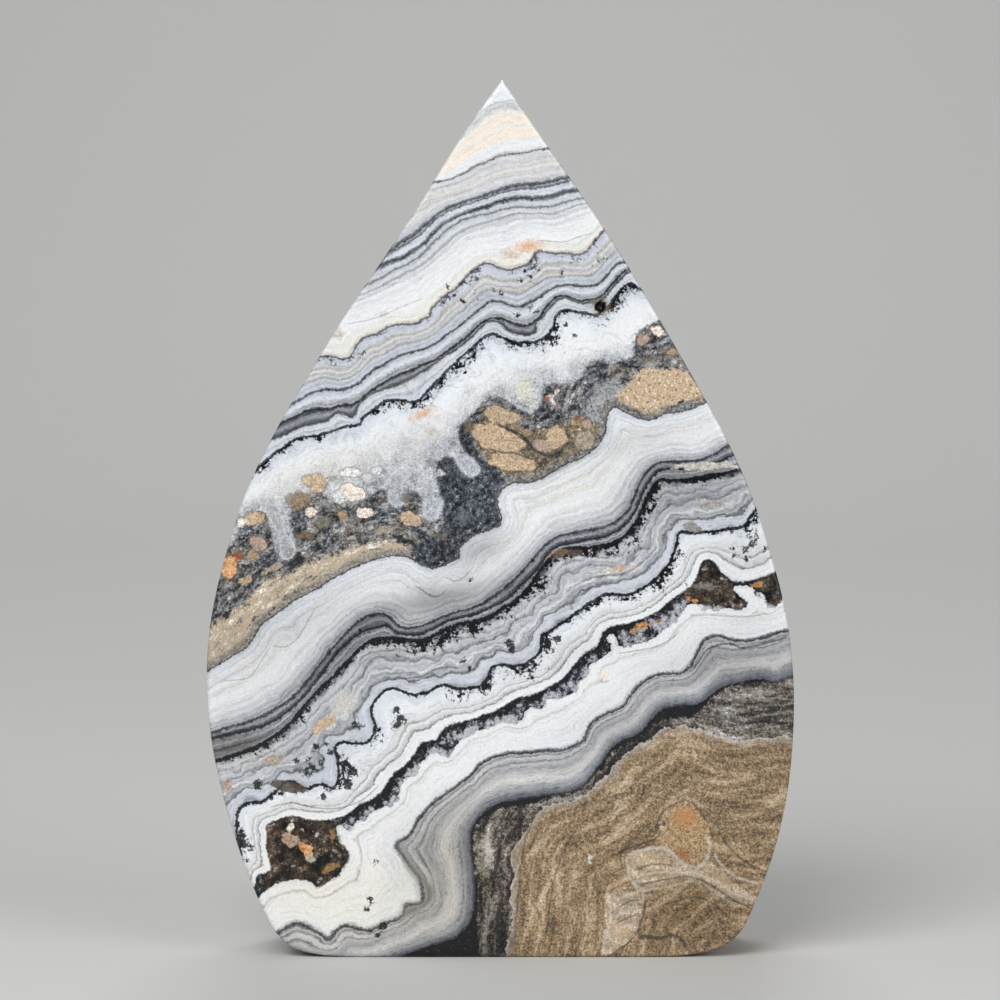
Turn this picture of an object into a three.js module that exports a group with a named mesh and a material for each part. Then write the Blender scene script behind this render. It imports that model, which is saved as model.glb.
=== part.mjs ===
import * as THREE from 'three';

// A free-standing slab of banded agate, cut to a flame outline and polished.
// Millimetres, +Z up. The origin is the middle of the flat base, X runs across the polished face
// and the face itself looks towards -Y.

// Driving dimensions
const HEIGHT = 87;
const HALF_WIDTH = 29.1;
const THICKNESS = 13.8;

// The sharp edge around each polished face is taken off by a narrow chamfer.
const EDGE_CHAMFER = 0.35;
const CHAMFER_STEPS = 2;

// The tip of the flame stands a little right of the middle.
const TIP_OFFSET = 0.2;

// Steps of the smooth outline between two neighbouring heights
const STEPS_BETWEEN_HEIGHTS = 4;

// The outline from the tip down to the base. Each row is a share of the height,
// then where the left and the right edge stand there, as shares of the half width.
const OUTLINE = [
  [0.943, -0.117, 0.124],
  [0.874, -0.247, 0.268],
  [0.805, -0.381, 0.405],
  [0.736, -0.522, 0.529],
  [0.667, -0.649, 0.649],
  [0.598, -0.770, 0.763],
  [0.529, -0.869, 0.856],
  [0.460, -0.935, 0.924],
  [0.391, -0.983, 0.976],
  [0.322, -1.000, 1.000],
  [0.253, -0.986, 1.000],
  [0.184, -0.945, 0.979],
  [0.115, -0.883, 0.931],
  [0.057, -0.814, 0.866],
  [0.028, -0.766, 0.821],
  [0.010, -0.704, 0.749],
  [0.002, -0.605, 0.632],
  [0.000, -0.464, 0.481],
];

const TIP = new THREE.Vector2(TIP_OFFSET, HEIGHT);

// One side of the flame: a smooth curve from the tip to the start of the flat base.
function edgeCurve(sideColumn) {
  const points = OUTLINE.map(
    (row) => new THREE.Vector2(row[sideColumn] * HALF_WIDTH, row[0] * HEIGHT),
  );
  const curve = new THREE.SplineCurve([TIP, ...points]);
  return curve.getPoints(OUTLINE.length * STEPS_BETWEEN_HEIGHTS);
}

// The whole outline, counter-clockwise from the tip: down the left edge, along the base, up the right.
function flameOutline() {
  const left = edgeCurve(1);
  const right = edgeCurve(2);
  const upTheRight = right.slice(1).reverse();
  return new THREE.Shape([...left, ...upTheRight]);
}

function slabGeometry() {
  const geometry = new THREE.ExtrudeGeometry(flameOutline(), {
    depth: THICKNESS - 2 * EDGE_CHAMFER,
    steps: 1,
    bevelEnabled: true,
    bevelThickness: EDGE_CHAMFER,
    bevelSize: EDGE_CHAMFER,
    bevelOffset: -EDGE_CHAMFER,
    bevelSegments: CHAMFER_STEPS,
  });
  // The outline is drawn in X and Y and extruded along Z: it is centred and then stood upright.
  geometry.translate(0, 0, EDGE_CHAMFER - THICKNESS / 2);
  geometry.rotateX(Math.PI / 2);
  return geometry;
}

const polishedAgate = new THREE.MeshStandardMaterial({
  color: 0xcfd3d6,
  roughness: 0.15,
  metalness: 0,
});

const slab = new THREE.Mesh(slabGeometry(), polishedAgate);
slab.name = 'agate_slab';

const agate = new THREE.Group();
agate.add(slab);

export default agate;
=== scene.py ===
# %% [markdown]
# # A polished slab of banded agate
# The stone is a flame-shaped slab, sawn from a nodule, stood on its flat base and polished. Its whole
# character is in its bands: white, grey and cream layers of quartz with black mossy fringes, a belt of
# broken rock across the middle and tan host rock at the foot. It can be painted with an image or built
# up from rules. Here it is rules: every band is measured from a seam line, so it is sharp at any size
# and runs through the stone to its sides and its back.

# %% Load the sawn slab
import math

import bmesh
import bpy
import numpy as np
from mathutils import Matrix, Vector


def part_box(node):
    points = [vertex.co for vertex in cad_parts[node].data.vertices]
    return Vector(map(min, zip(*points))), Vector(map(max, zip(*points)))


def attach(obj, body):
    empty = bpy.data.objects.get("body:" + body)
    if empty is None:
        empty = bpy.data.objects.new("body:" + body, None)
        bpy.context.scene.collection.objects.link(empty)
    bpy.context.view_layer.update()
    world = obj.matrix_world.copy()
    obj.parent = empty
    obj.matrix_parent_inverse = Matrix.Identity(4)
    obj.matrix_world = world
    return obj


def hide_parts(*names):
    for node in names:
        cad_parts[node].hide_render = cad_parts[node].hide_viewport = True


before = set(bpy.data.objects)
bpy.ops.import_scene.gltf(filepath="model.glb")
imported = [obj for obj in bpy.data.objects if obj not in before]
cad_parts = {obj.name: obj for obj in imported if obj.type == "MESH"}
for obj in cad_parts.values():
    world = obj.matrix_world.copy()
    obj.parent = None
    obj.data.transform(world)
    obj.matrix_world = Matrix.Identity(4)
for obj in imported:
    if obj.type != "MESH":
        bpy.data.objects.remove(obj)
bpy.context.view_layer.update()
slab_low, slab_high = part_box("agate_slab")
slab_height = slab_high.z - slab_low.z
slab_thickness = slab_high.y - slab_low.y
MM_PER_METRE = 1000.0
print(f"slab {slab_height * MM_PER_METRE:.1f} mm tall and {slab_thickness * MM_PER_METRE:.1f} mm thick")

# %% [markdown]
# ## The blank
# The saw leaves a plain blank, and its shape is known exactly, so the blank starts as a copy of the sawn
# solid. Its loose triangles are merged and its flat faces made whole. The bands are measured at the
# corners of the mesh, so the blank is then cut into small cells with straight saw cuts. Cutting with
# planes keeps the outline as it is, which a remesh would round off.

# %% Cut the blank into cells
# The largest cell, in metres
CELL_ACROSS = 0.00034
CELL_UP = 0.00034
CELL_THROUGH = 0.0011
FLAT_ANGLE = math.radians(0.05)
SAME_CORNER = 1e-6
ON_THE_CUT = 1e-8


def cut_places(low, high, cell):
    """Where the cuts go between two ends, evenly spaced and no further apart than a cell."""
    pieces = math.ceil((high - low) / cell)
    return [low + (high - low) * i / pieces for i in range(1, pieces)]


def slice_blank(blank, axis, places):
    """Cut the blank across one axis, lowest cut first. What lies behind a cut isn't cut again."""
    normal = Vector([1.0 if i == axis else 0.0 for i in range(3)])
    ahead = list(blank.faces)
    for place in places:
        edges = {edge for face in ahead for edge in face.edges}
        corners = {corner for face in ahead for corner in face.verts}
        cut = bmesh.ops.bisect_plane(
            blank, geom=[*corners, *edges, *ahead], dist=ON_THE_CUT, plane_co=normal * place, plane_no=normal
        )
        faces = [part for part in cut["geom"] if isinstance(part, bmesh.types.BMFace)]
        ahead = [face for face in faces if face.calc_center_median()[axis] > place]


blank = bmesh.new()
blank.from_mesh(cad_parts["agate_slab"].data)
bmesh.ops.remove_doubles(blank, verts=blank.verts, dist=SAME_CORNER)
bmesh.ops.dissolve_limit(blank, angle_limit=FLAT_ANGLE, verts=blank.verts, edges=blank.edges)
slice_blank(blank, 2, cut_places(slab_low.z, slab_high.z, CELL_UP))
slice_blank(blank, 1, cut_places(slab_low.y, slab_high.y, CELL_THROUGH))
slice_blank(blank, 0, cut_places(slab_low.x, slab_high.x, CELL_ACROSS))
slab_mesh = bpy.data.meshes.new("banded_agate")
blank.to_mesh(slab_mesh)
blank.free()
slab_mesh.shade_smooth()
slab = bpy.data.objects.new("banded_agate", slab_mesh)
bpy.context.scene.collection.objects.link(slab)
print(f"blank of {len(slab_mesh.vertices)} corners and {len(slab_mesh.polygons)} cells")

# %% [markdown]
# ## Drawing on the face
# Everything in the stone is drawn on its polished face, in a square view 1000 steps wide with the stone
# standing in it, x to the right and y down. One step is about 0.1 mm. Behind the face the
# bands slant and wave a little, as layers do, so each corner of the mesh is first slid to the place on
# the face that its layer comes out at.

# %% Find each corner's place on the face
STONE_STEPS = 878.5
FOOT_STEP = 957.5
MIDDLE_STEP = 500.0
STEP = slab_height / STONE_STEPS
STEP_MM = STEP * MM_PER_METRE
# How far the layers slide from the front face to the back, right and down
SLANT_STEPS = (26.0, -30.0)
# The height of the waves, then for each one its stretch in steps and its turn through the stone in radians
WAVE_STEPS = 9.0
WAVE_ACROSS = (47, 2.1)
WAVE_DOWN = (63, -1.7)

corners = np.empty(len(slab_mesh.vertices) * 3)
slab_mesh.vertices.foreach_get("co", corners)
corners = corners.reshape(-1, 3)
depth = (corners[:, 1] - slab_low.y) / slab_thickness
across = MIDDLE_STEP + corners[:, 0] / STEP
down = FOOT_STEP - (corners[:, 2] - slab_low.z) / STEP


def swell(place, stretch, turn):
    """The height of a slow wave at each corner. All over the front face it is 0."""
    return np.sin(place / stretch + turn * depth) - np.sin(place / stretch)


wave = WAVE_STEPS * (swell(across, *WAVE_ACROSS) + swell(down, *WAVE_DOWN))
drawn = np.stack([across + SLANT_STEPS[0] * depth + wave, down + SLANT_STEPS[1] * depth + wave], axis=1)
drawn = drawn.astype(np.float32)
from_face = slab_thickness * MM_PER_METRE * (0.5 - np.abs(depth - 0.5))
print(f"one step is {STEP_MM:.4f} mm")

# %% [markdown]
# ## Seams
# A seam is the line where one layer ends and the next begins. Each one is a few points on the face,
# joined by a smooth curve, and ordered from the tip to the foot of the stone. Where black moss hangs from
# a seam, a third number says how far down it reaches, in the same steps.

# %% Write down the seams
SEAMS = {
    "tip_thread": [(470, 122), (480, 112), (486, 107), (492, 103.5), (498, 102), (505, 100.5), (511, 99.3),
                   (516, 101), (526, 103)],
    "tip_line": [(434, 180), (443, 179), (452, 177), (460, 173), (466, 171), (471, 167), (477, 163.5),
                 (484, 161), (491, 158), (498, 155), (508, 153), (521, 152), (531, 149), (540, 148),
                 (548, 147)],
    "upper_dark": [(386, 252), (396, 243.5), (405, 238), (414, 233), (421, 227), (428, 221), (436, 214),
                   (444, 208), (454, 203), (466, 199.5), (480, 195), (490, 191), (500, 187.5), (508, 185.5),
                   (518, 183), (536, 182), (548, 180), (560, 177), (572, 174)],
    "lower_dark": [(378, 263), (388, 258.5), (400, 256), (410, 250), (418, 244.5), (425, 240), (431, 233),
                   (437, 226), (445, 220), (456, 214.5), (466, 210), (478, 206), (488, 203.5), (496, 200),
                   (506, 196.5), (518, 195), (536, 195), (550, 193.5), (558, 191), (566, 188.5), (578, 187)],
    "grey_thread": [(370, 281), (382, 275), (394, 268), (406, 262.5), (418, 255), (426, 248.5), (433, 240),
                    (441, 233), (450, 225.5), (460, 219), (472, 214.5), (484, 212.5), (496, 209.5),
                    (506, 206.5), (518, 205), (536, 205.5), (552, 204), (564, 200.5), (574, 198), (586, 196)],
    "pale_thread": [(362, 291), (374, 287), (388, 280), (402, 273), (416, 266), (428, 258), (440, 247),
                    (452, 236.5), (464, 228), (478, 222.5), (494, 218.5), (506, 214.5), (520, 211.5),
                    (540, 211.5), (554, 211.5), (564, 208), (576, 203.5), (590, 201)],
    "cream_foot": [(318, 354.5, 4), (328, 352.5, 5), (336, 354.5, 4), (344, 356, 3), (350, 354, 5),
                   (354, 348, 9), (358, 341, 7), (363, 336, 4), (370, 333, 2), (377, 331.5, 2), (382, 328, 4),
                   (388, 325, 5), (394, 323, 3), (402, 322, 2), (411, 321.5, 3), (418, 319.5, 4),
                   (424, 316, 5), (430, 313, 6), (431, 307.5, 5), (434, 303, 3), (439, 299, 4),
                   (444, 293.5, 7), (451, 289.5, 9), (458, 284, 8), (464, 277, 8), (470, 271, 7),
                   (476, 265.5, 4), (482, 262, 2), (488, 261, 1), (494, 262.5, 1), (499, 266, 3),
                   (506, 267, 5), (514, 266.5, 7), (522, 264, 10), (528, 261.5, 12), (532, 256, 8),
                   (535, 250.5, 4), (540, 249, 3), (548, 250.5, 4), (556, 251.5, 6), (566, 251, 6),
                   (576, 252.5, 5), (583, 251.5, 7), (588, 247, 10), (593, 241, 11), (598, 234, 9),
                   (604, 227, 6)],
    "slate_thread": [(290, 402), (300, 397), (310, 391), (320, 387), (330, 386.5), (342, 386.5), (352, 383),
                     (360, 379), (368, 372), (376, 365.5), (386, 360), (400, 353), (410, 349.5), (424, 346),
                     (434, 341.5), (441, 337), (448, 331), (457, 325.5), (465, 319), (473, 311.5), (481, 305),
                     (487, 300), (493, 298), (500, 299), (508, 301.5), (516, 303.5), (524, 302),
                     (532, 298.5), (541, 293), (549, 288), (557, 283.5), (568, 282.5), (580, 283.5),
                     (590, 283.5), (599, 280.5), (606, 273), (612, 266), (618, 260.5), (626, 259)],
    "slate_band": [(280, 420), (290, 416), (300, 411), (308, 407), (318, 405), (330, 406), (338, 403),
                   (346, 401.5), (354, 400.5), (362, 395), (370, 389), (378, 383), (388, 377), (400, 371),
                   (412, 366.5), (424, 361), (434, 357), (442, 352), (450, 346), (458, 341), (466, 334),
                   (474, 326), (482, 320), (490, 316), (498, 315), (506, 317.5), (514, 321), (524, 322.5),
                   (531, 321), (536, 316.5), (541, 314), (543, 307.5), (548, 301), (556, 294.5), (564, 293),
                   (572, 295), (580, 298), (590, 297), (600, 294), (606, 288), (612, 280.5), (618, 274),
                   (624, 268), (632, 265)],
    "slate_foot": [(272, 437), (282, 433), (292, 428.5), (302, 424), (312, 421), (322, 419), (330, 417),
                   (335, 411), (342, 410), (350, 414), (355, 414), (357, 407), (360, 400), (368, 394),
                   (376, 389), (386, 385.5), (396, 383.5), (402, 381), (410, 376), (420, 371), (430, 364.5),
                   (440, 357), (450, 350.5), (460, 344), (470, 335.5), (480, 326), (488, 319.5), (496, 318.5),
                   (502, 321), (505, 326), (512, 330), (522, 332), (530, 332.5), (536, 328), (535, 321),
                   (538, 318), (543, 315.5), (546, 309), (551, 303), (558, 297), (565, 295.5), (573, 298),
                   (581, 301), (591, 300), (602, 297), (608, 291), (614, 283.5), (620, 277), (626, 271),
                   (635, 268)],
    "fern_line": [(258, 464, 6), (266, 458, 8), (274, 451, 8), (282, 445.5, 6), (292, 438.5, 4),
                  (301, 434.5, 3), (312, 433, 3), (322, 431.5, 6), (332, 428, 5), (342, 424.5, 3),
                  (352, 422.5, 3), (360, 421.5, 3), (362.5, 415, 3), (368, 411, 4), (375, 406, 6),
                  (381, 401, 9), (388, 397, 10), (396, 396.5, 11), (404, 397.5, 10), (411, 399, 9),
                  (416, 399, 10), (421, 395, 13), (426, 390, 14), (430, 384.5, 12), (436, 380, 10),
                  (443, 372, 12), (451, 364, 14), (459, 356.5, 15), (467, 349.5, 15), (475, 342.5, 13),
                  (481, 336.5, 8), (487, 333, 3), (493, 331.5, 2), (501, 333.5, 4), (509, 336.5, 8),
                  (518, 339, 10), (528, 339.5, 10), (535, 339, 12), (541, 336, 15), (547, 332.5, 16),
                  (551, 327, 15), (554, 320, 13), (556, 313, 10), (562, 308, 6), (569, 307, 5),
                  (577, 309, 5), (587, 311, 7), (596, 312, 8), (603, 309, 11), (608, 303, 13),
                  (614, 295, 13), (620, 288, 11), (626, 281.5, 8), (631, 281, 8), (636, 285, 6),
                  (642, 287.5, 4), (652, 292, 3)],
    "druse_top": [(240, 502), (262, 486), (285, 474), (305, 463), (325, 456), (345, 450), (365, 445),
                  (385, 436), (405, 430), (425, 430), (442, 422), (452, 410), (464, 398), (480, 387),
                  (496, 377), (508, 367), (522, 360), (545, 360), (562, 358), (580, 350), (600, 344),
                  (618, 341), (632, 338), (640, 326), (652, 318), (668, 312)],
    "rubble_top": [(218, 552), (228, 545), (240, 528), (244, 514), (254, 509), (264, 509), (270, 519),
                   (276, 549), (284, 556), (292, 551), (294, 534), (289, 512), (300, 505), (310, 496),
                   (322, 491), (335, 499), (350, 500), (364, 497), (377, 488), (386, 487), (390, 499),
                   (397, 505), (404, 499), (408, 490), (415, 488), (422, 496), (425, 512), (433, 518),
                   (443, 506), (440, 490), (436, 471), (438, 460), (446, 454), (454, 455), (461, 467),
                   (472, 471), (479, 466), (475, 457), (464, 447), (458, 433), (460, 421), (470, 414),
                   (478, 403), (486, 396), (496, 393), (506, 396), (516, 404), (528, 410), (537, 408),
                   (541, 395), (545, 383), (556, 380), (572, 380), (583, 371), (588, 360), (597, 356),
                   (608, 362), (620, 358), (632, 354), (633, 338), (640, 327), (650, 321), (662, 316)],
    "sand_top": [(196, 636), (210, 625), (222, 615), (233, 609), (244, 601), (253, 592), (260, 582),
                 (272, 575), (286, 571), (300, 564), (313, 558), (327, 553), (342, 548), (356, 543),
                 (372, 540), (388, 538), (402, 541), (412, 548), (420, 557), (430, 572)],
    "breccia_foot": [(203, 669), (214, 663), (224, 657), (234, 651), (246, 643), (253, 634), (260, 622),
                     (269, 614), (280, 607), (291, 598.5), (303, 591.5), (315, 586), (328, 577), (341, 570),
                     (354, 563), (366, 558.5), (376, 555), (386, 552.5), (396, 551.5), (405, 552),
                     (412, 555), (420, 560), (428, 563), (436, 564), (444, 561.5), (450, 558), (456, 555.5),
                     (459, 551), (458, 545), (463, 540), (470, 534), (477, 530), (485, 527), (493, 524),
                     (500, 521), (501, 515), (498.5, 508), (496.5, 500), (497, 492), (501, 486),
                     (506, 481.5), (513, 478.5), (522, 478.5), (532, 477.5), (540, 474.5), (548, 470),
                     (557, 464.5), (566, 460), (576, 456), (586, 450.5), (594, 444), (600, 437.5),
                     (603.5, 429), (604.5, 421), (606, 412), (609, 406), (613, 403), (618, 404), (624, 408),
                     (632, 412), (641, 415), (650, 416), (657, 413.5), (664, 409.5), (672, 408), (682, 407),
                     (692, 404), (700, 400), (708, 397)],
    "white_foot": [(207, 731), (216, 728.5), (228, 724.5), (240, 722), (252, 717.5), (262, 713),
                   (273, 706.5), (283, 701), (292, 694.5), (301, 685), (309, 676), (318, 664), (327, 652),
                   (336, 641), (345, 631), (354, 622), (362, 615.5), (371, 612), (381, 611), (389, 613),
                   (394, 618), (400, 623), (410, 625), (420, 623.5), (430, 619), (442, 614), (455, 609.5),
                   (468, 606), (480, 601.5), (490, 595.5), (500, 589), (509, 581), (518, 572), (526, 563),
                   (534, 554), (541, 546), (549, 539), (558, 533.5), (570, 530), (583, 527.5), (597, 525),
                   (608, 522), (616, 517.5), (624, 511), (630, 502.5), (635, 491), (639, 480), (645, 470),
                   (652, 462.5), (660, 459), (672, 458), (684, 458), (696, 457), (708, 453.5), (720, 446.5),
                   (730, 440)],
    "shadow_line": [(210, 736), (230, 731), (250, 727), (262, 723), (277, 716), (290, 706), (302, 696),
                    (314, 681), (326, 665), (338, 649), (350, 637), (360, 630), (372, 626), (386, 622),
                    (392, 627), (400, 630), (410, 632), (420, 631), (430, 627), (440, 622), (450, 617),
                    (460, 615), (480, 609), (500, 600), (510, 593), (520, 583), (530, 573), (540, 563),
                    (548, 550), (560, 542), (575, 539), (600, 534), (612, 530), (625, 521), (634, 510),
                    (643, 488), (653, 472), (663, 466), (700, 464), (720, 458), (735, 450)],
    "saw_line": [(211, 759.5, 4), (222, 757, 4), (234, 753, 5), (246, 748.5, 7), (256, 744.5, 8),
                 (265, 740, 8), (273, 734, 6), (281, 728.5, 8), (289, 721.5, 8), (297, 712.5, 7),
                 (305, 703, 6), (313, 693.5, 6), (321, 684.5, 7), (330, 676.5, 6), (339, 667, 7),
                 (348, 657.5, 5), (357, 648, 4), (366, 640, 6), (376, 636, 10), (388, 635, 11),
                 (400, 635.5, 11), (412, 637, 11), (422, 637, 12), (432, 633, 13), (441, 628.5, 13),
                 (451, 624, 12), (462, 620.5, 13), (474, 618, 14), (485, 615, 13), (495, 610.5, 12),
                 (504, 604.5, 10), (513, 599.5, 9), (521, 592, 9), (528, 585, 12), (533, 578, 15),
                 (538, 570, 14), (544, 562, 11), (551, 554, 9), (560, 548, 8), (570, 545, 10),
                 (583, 544.5, 10), (596, 543.5, 10), (607, 541, 10), (616, 538, 11), (624, 533, 12),
                 (631, 526, 12), (637, 517.5, 12), (641, 508, 11), (645, 497, 10), (650, 487.5, 8),
                 (655, 480, 7), (660, 477, 6), (672, 477.5, 6), (686, 476.5, 6), (700, 474, 7),
                 (714, 471, 6), (728, 469, 5), (744, 466, 5)],
    "moss_line": [(238, 862, 10), (240, 852, 12), (238, 842, 12), (236, 830, 9), (236, 818, 2),
                  (238, 808, 2), (245, 802.5, 3), (254, 800.5, 3), (263, 799, 2), (270, 793, 5),
                  (277, 788, 9), (283, 782, 11), (288, 779, 13), (295, 781, 12), (302, 785.5, 8),
                  (308, 787, 4), (314, 784, 2), (322, 782, 3), (327, 784, 4), (332, 786.5, 4),
                  (337, 781, 9), (338.5, 772, 16), (337.5, 762, 17), (336, 752, 8), (334, 746, 2),
                  (338, 741.5, 2), (346, 740, 2), (355, 741, 4), (363, 741, 7), (370, 737, 8),
                  (374.5, 730, 7), (375, 722, 3), (372, 713, 1.5), (371.5, 705, 1), (375, 698, 1),
                  (381, 691, 1), (388, 686, 1), (396, 686.5, 1), (404, 689.5, 2), (413, 691.5, 4),
                  (423, 690.5, 5), (432, 687, 3), (439, 683, 2), (445, 682, 5), (450, 684, 11),
                  (458, 685.5, 13), (470, 685.5, 12), (480, 683.5, 12), (486, 678, 12), (489.5, 670, 10),
                  (493, 664, 8), (501, 661.5, 9), (510, 663, 12), (520, 662.5, 14), (529, 658.5, 14),
                  (537, 653, 12), (541.5, 646, 18), (542, 638, 19), (542, 632.5, 14), (548, 629, 6),
                  (556, 624, 5), (564, 618.5, 5), (572, 612.5, 7), (580, 607, 10), (587, 601.5, 9),
                  (595, 598, 5), (602, 592, 7), (609, 591, 13), (618, 592, 14), (628, 591.5, 10),
                  (638, 588, 9), (647, 582.5, 10), (655, 576.5, 11), (662, 569, 11), (669, 560, 10),
                  (673.5, 551, 8), (676.5, 540, 4), (679, 529, 2), (690, 529.5, 2), (702, 528.5, 2),
                  (714, 528, 3), (726, 526, 5), (738, 525, 9), (745, 521.5, 16), (750, 514, 19),
                  (755, 507, 14), (762, 499, 8)],
    "crumb_top": [(246, 899), (252, 891), (255, 882), (257, 874), (264, 873), (271, 868), (268.5, 858),
                  (266, 848), (267, 836), (266, 823), (275, 819.5), (284, 816), (294, 814.5), (304, 817),
                  (314, 819.5), (325, 819), (336, 817), (345, 814), (353, 809), (360, 803), (369, 799),
                  (378, 793), (384, 787), (388, 780), (393, 772.5), (400, 767), (407, 761), (413, 754.5),
                  (417.5, 747.5), (422, 740.5), (430, 739), (437, 737.5), (441, 731), (447, 725),
                  (456, 721.5), (466, 718.5), (477, 715.5), (487, 711.5), (496, 708), (504, 704),
                  (511, 699.5), (519, 695.5), (530, 693.5), (540, 689.5), (550, 684.5), (559, 679),
                  (566, 672.5), (573, 664), (579, 657), (584, 651), (591, 647.5), (598, 643), (601, 635),
                  (604, 628.5), (611, 624), (620, 622), (630, 620), (640, 617), (650, 612.5), (659, 608),
                  (665, 602.5), (671, 597), (680, 590.5), (691, 583.5), (696, 574), (700, 563.5),
                  (704, 557.5), (709, 556.5), (714, 560.5), (719, 567.5), (726, 573.5), (734, 578.5),
                  (742, 580), (751, 578), (761, 575), (769, 572), (778, 568)],
    "crumb_foot": [(251, 903), (258, 897), (263, 891), (271, 885), (281, 880.5), (292, 878.5), (303, 878.5),
                   (311, 881.5), (317, 886.5), (323, 883), (331, 878), (339, 873), (344, 865), (348, 857),
                   (347, 850), (341, 848), (338, 838), (335, 827), (340, 823), (347, 827), (352, 824),
                   (358, 818.5), (365, 817.5), (369, 812), (376, 808.5), (384, 804), (391, 802.5),
                   (397, 797), (399, 789), (400, 781), (406, 775.5), (413, 771), (417, 763), (424, 757.5),
                   (430, 750.5), (432, 744), (437, 746), (443, 752), (449, 751), (455, 744), (461, 738),
                   (461, 731.5), (468, 731), (475, 727.5), (483, 727), (490, 723), (497, 718.5), (508, 717),
                   (516, 718.5), (523, 716.5), (525, 709), (531, 703.5), (538, 704.5), (543, 701),
                   (549, 697.5), (558, 696.5), (566, 692.5), (573, 690.5), (576, 684), (581, 676),
                   (587, 668), (591, 660), (598, 658.5), (604, 653), (610, 649), (611, 641), (606, 636),
                   (611, 630), (616, 634), (618, 641), (624, 644.5), (632, 641.5), (641, 640), (650, 637),
                   (658, 632), (664, 626), (671, 618), (679, 613), (685, 605), (690, 601.5), (700, 601.5),
                   (711, 603), (722, 604.5), (735, 605.5), (746, 605), (747.5, 600), (742, 594.5),
                   (735, 588.5), (730, 584), (740, 582.5), (750, 583.5), (757, 589), (763, 590.5),
                   (766, 598), (769, 604), (773, 598), (778, 598), (787, 590)],
    "grey_head": [(262, 944), (272, 935.5), (280, 930), (288, 925), (296, 922), (304, 924), (312, 928),
                  (319, 932.5), (325, 938), (329, 939), (333, 932.5), (338, 927), (347, 925), (358, 928.5),
                  (368, 930), (378, 925.5), (388, 921.5), (397, 919), (403, 913), (405, 905), (413, 903),
                  (420, 902), (423, 896), (421, 887), (419, 877), (412, 868), (404, 858), (398, 849),
                  (395.5, 843), (401, 838.5), (408, 834), (413, 826.5), (417, 818), (424, 809.5),
                  (431, 802.5), (439, 796), (449, 789), (459, 782), (468, 775), (475, 768), (480, 761.5),
                  (488, 757), (497, 753.5), (508, 750.5), (522, 750), (536, 749), (550, 747.5), (561, 748),
                  (570, 745), (578, 741), (584, 737), (587, 729.5), (590, 722.5), (597, 716), (607, 711),
                  (617, 706.5), (625, 701.5), (629, 694), (635, 686.5), (642, 680.5), (650, 674.5),
                  (659, 671.5), (670, 670.5), (681, 669.5), (689, 665), (694, 657), (698, 648), (703, 638),
                  (710, 634), (718, 632.5), (728, 635.5), (738, 637.5), (748, 637.5), (760, 635),
                  (774, 630.5), (791, 626)],
    "black_head": [(384, 965), (398, 958), (412, 952.5), (426, 947.5), (440, 943.5), (453, 939), (462, 932),
                   (470, 922), (474, 910), (475.5, 896), (475, 880), (473.5, 865), (472.5, 850), (471, 838),
                   (472, 828), (477, 819.5), (484, 811.5), (493, 804.5), (503, 800.5), (516, 799),
                   (530, 796.5), (544, 794), (558, 792.5), (571, 790), (582, 785), (590, 777), (597, 768),
                   (603, 759.5), (609, 750), (616, 742.5), (626, 737.5), (636, 733.5), (644, 727),
                   (651, 719), (657, 711.5), (665, 706), (676, 703.5), (688, 703), (699, 701.5), (707, 696),
                   (715, 689), (724, 684), (736, 681), (749, 678), (762, 677), (775, 680), (787, 677),
                   (797, 671)],
    "black_foot": [(484, 965), (482, 950), (481, 935), (480, 920), (480, 905), (479, 890), (478, 875),
                   (478, 860), (477, 846), (477, 834), (480, 826), (487, 818.5), (496, 812.5), (507, 809),
                   (520, 807.5), (534, 805), (547, 802), (560, 800), (571, 797.5), (581, 793), (589, 787),
                   (596, 779.5), (602, 774), (608, 768), (611, 761), (616, 755), (623, 750), (632, 745.5),
                   (642, 741), (649, 735.5), (655, 729), (662, 724), (672, 722), (684, 721), (694, 718),
                   (702, 712), (710, 702), (718, 694), (728, 689), (740, 684), (756, 684), (770, 683),
                   (782, 682), (798, 676)],
    "host_top": [(506, 968), (507, 945), (510, 930), (513, 918), (511, 905), (512, 892), (514, 880),
                 (513, 870), (511, 860), (512, 852), (516, 845), (521, 836), (527, 826), (533, 817),
                 (540, 810), (550, 804.5), (561, 801.5), (572, 799), (582, 795), (590, 789), (597, 781.5),
                 (603, 776), (611, 772), (613, 764), (618, 757), (625, 751.5), (634, 747), (644, 742.5),
                 (651, 737), (657, 731), (663, 726), (670, 724.5), (680, 724), (690, 725), (702, 728),
                 (712, 731.5), (724, 735.5), (738, 738), (752, 737.5), (767, 735.5), (782, 735), (798, 734)],
}
print(f"{len(SEAMS)} seams of {sum(len(points) for points in SEAMS.values())} points")

# %% [markdown]
# The smooth curve through a seam's points is the same one that a drawing program would use: each stretch
# is a cubic whose slope at a point comes from its two neighbours. Past both edges of the stone a seam
# runs on straight, because its layer goes on behind the face. For each corner of the mesh three things
# are worked out: how far it lies from the seam, how far along, and how deep the moss reaches there.

# %% Draw smooth curves and measure from them
CURVE_STEPS = 4
RUN_ON_STEPS = 70.0
FAR_STEPS = 400.0
SHORTEST_SQUARE = 1e-9
# Corners are compared with a line this many at a time, so that the arrays stay small
CHUNK = 500


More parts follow.
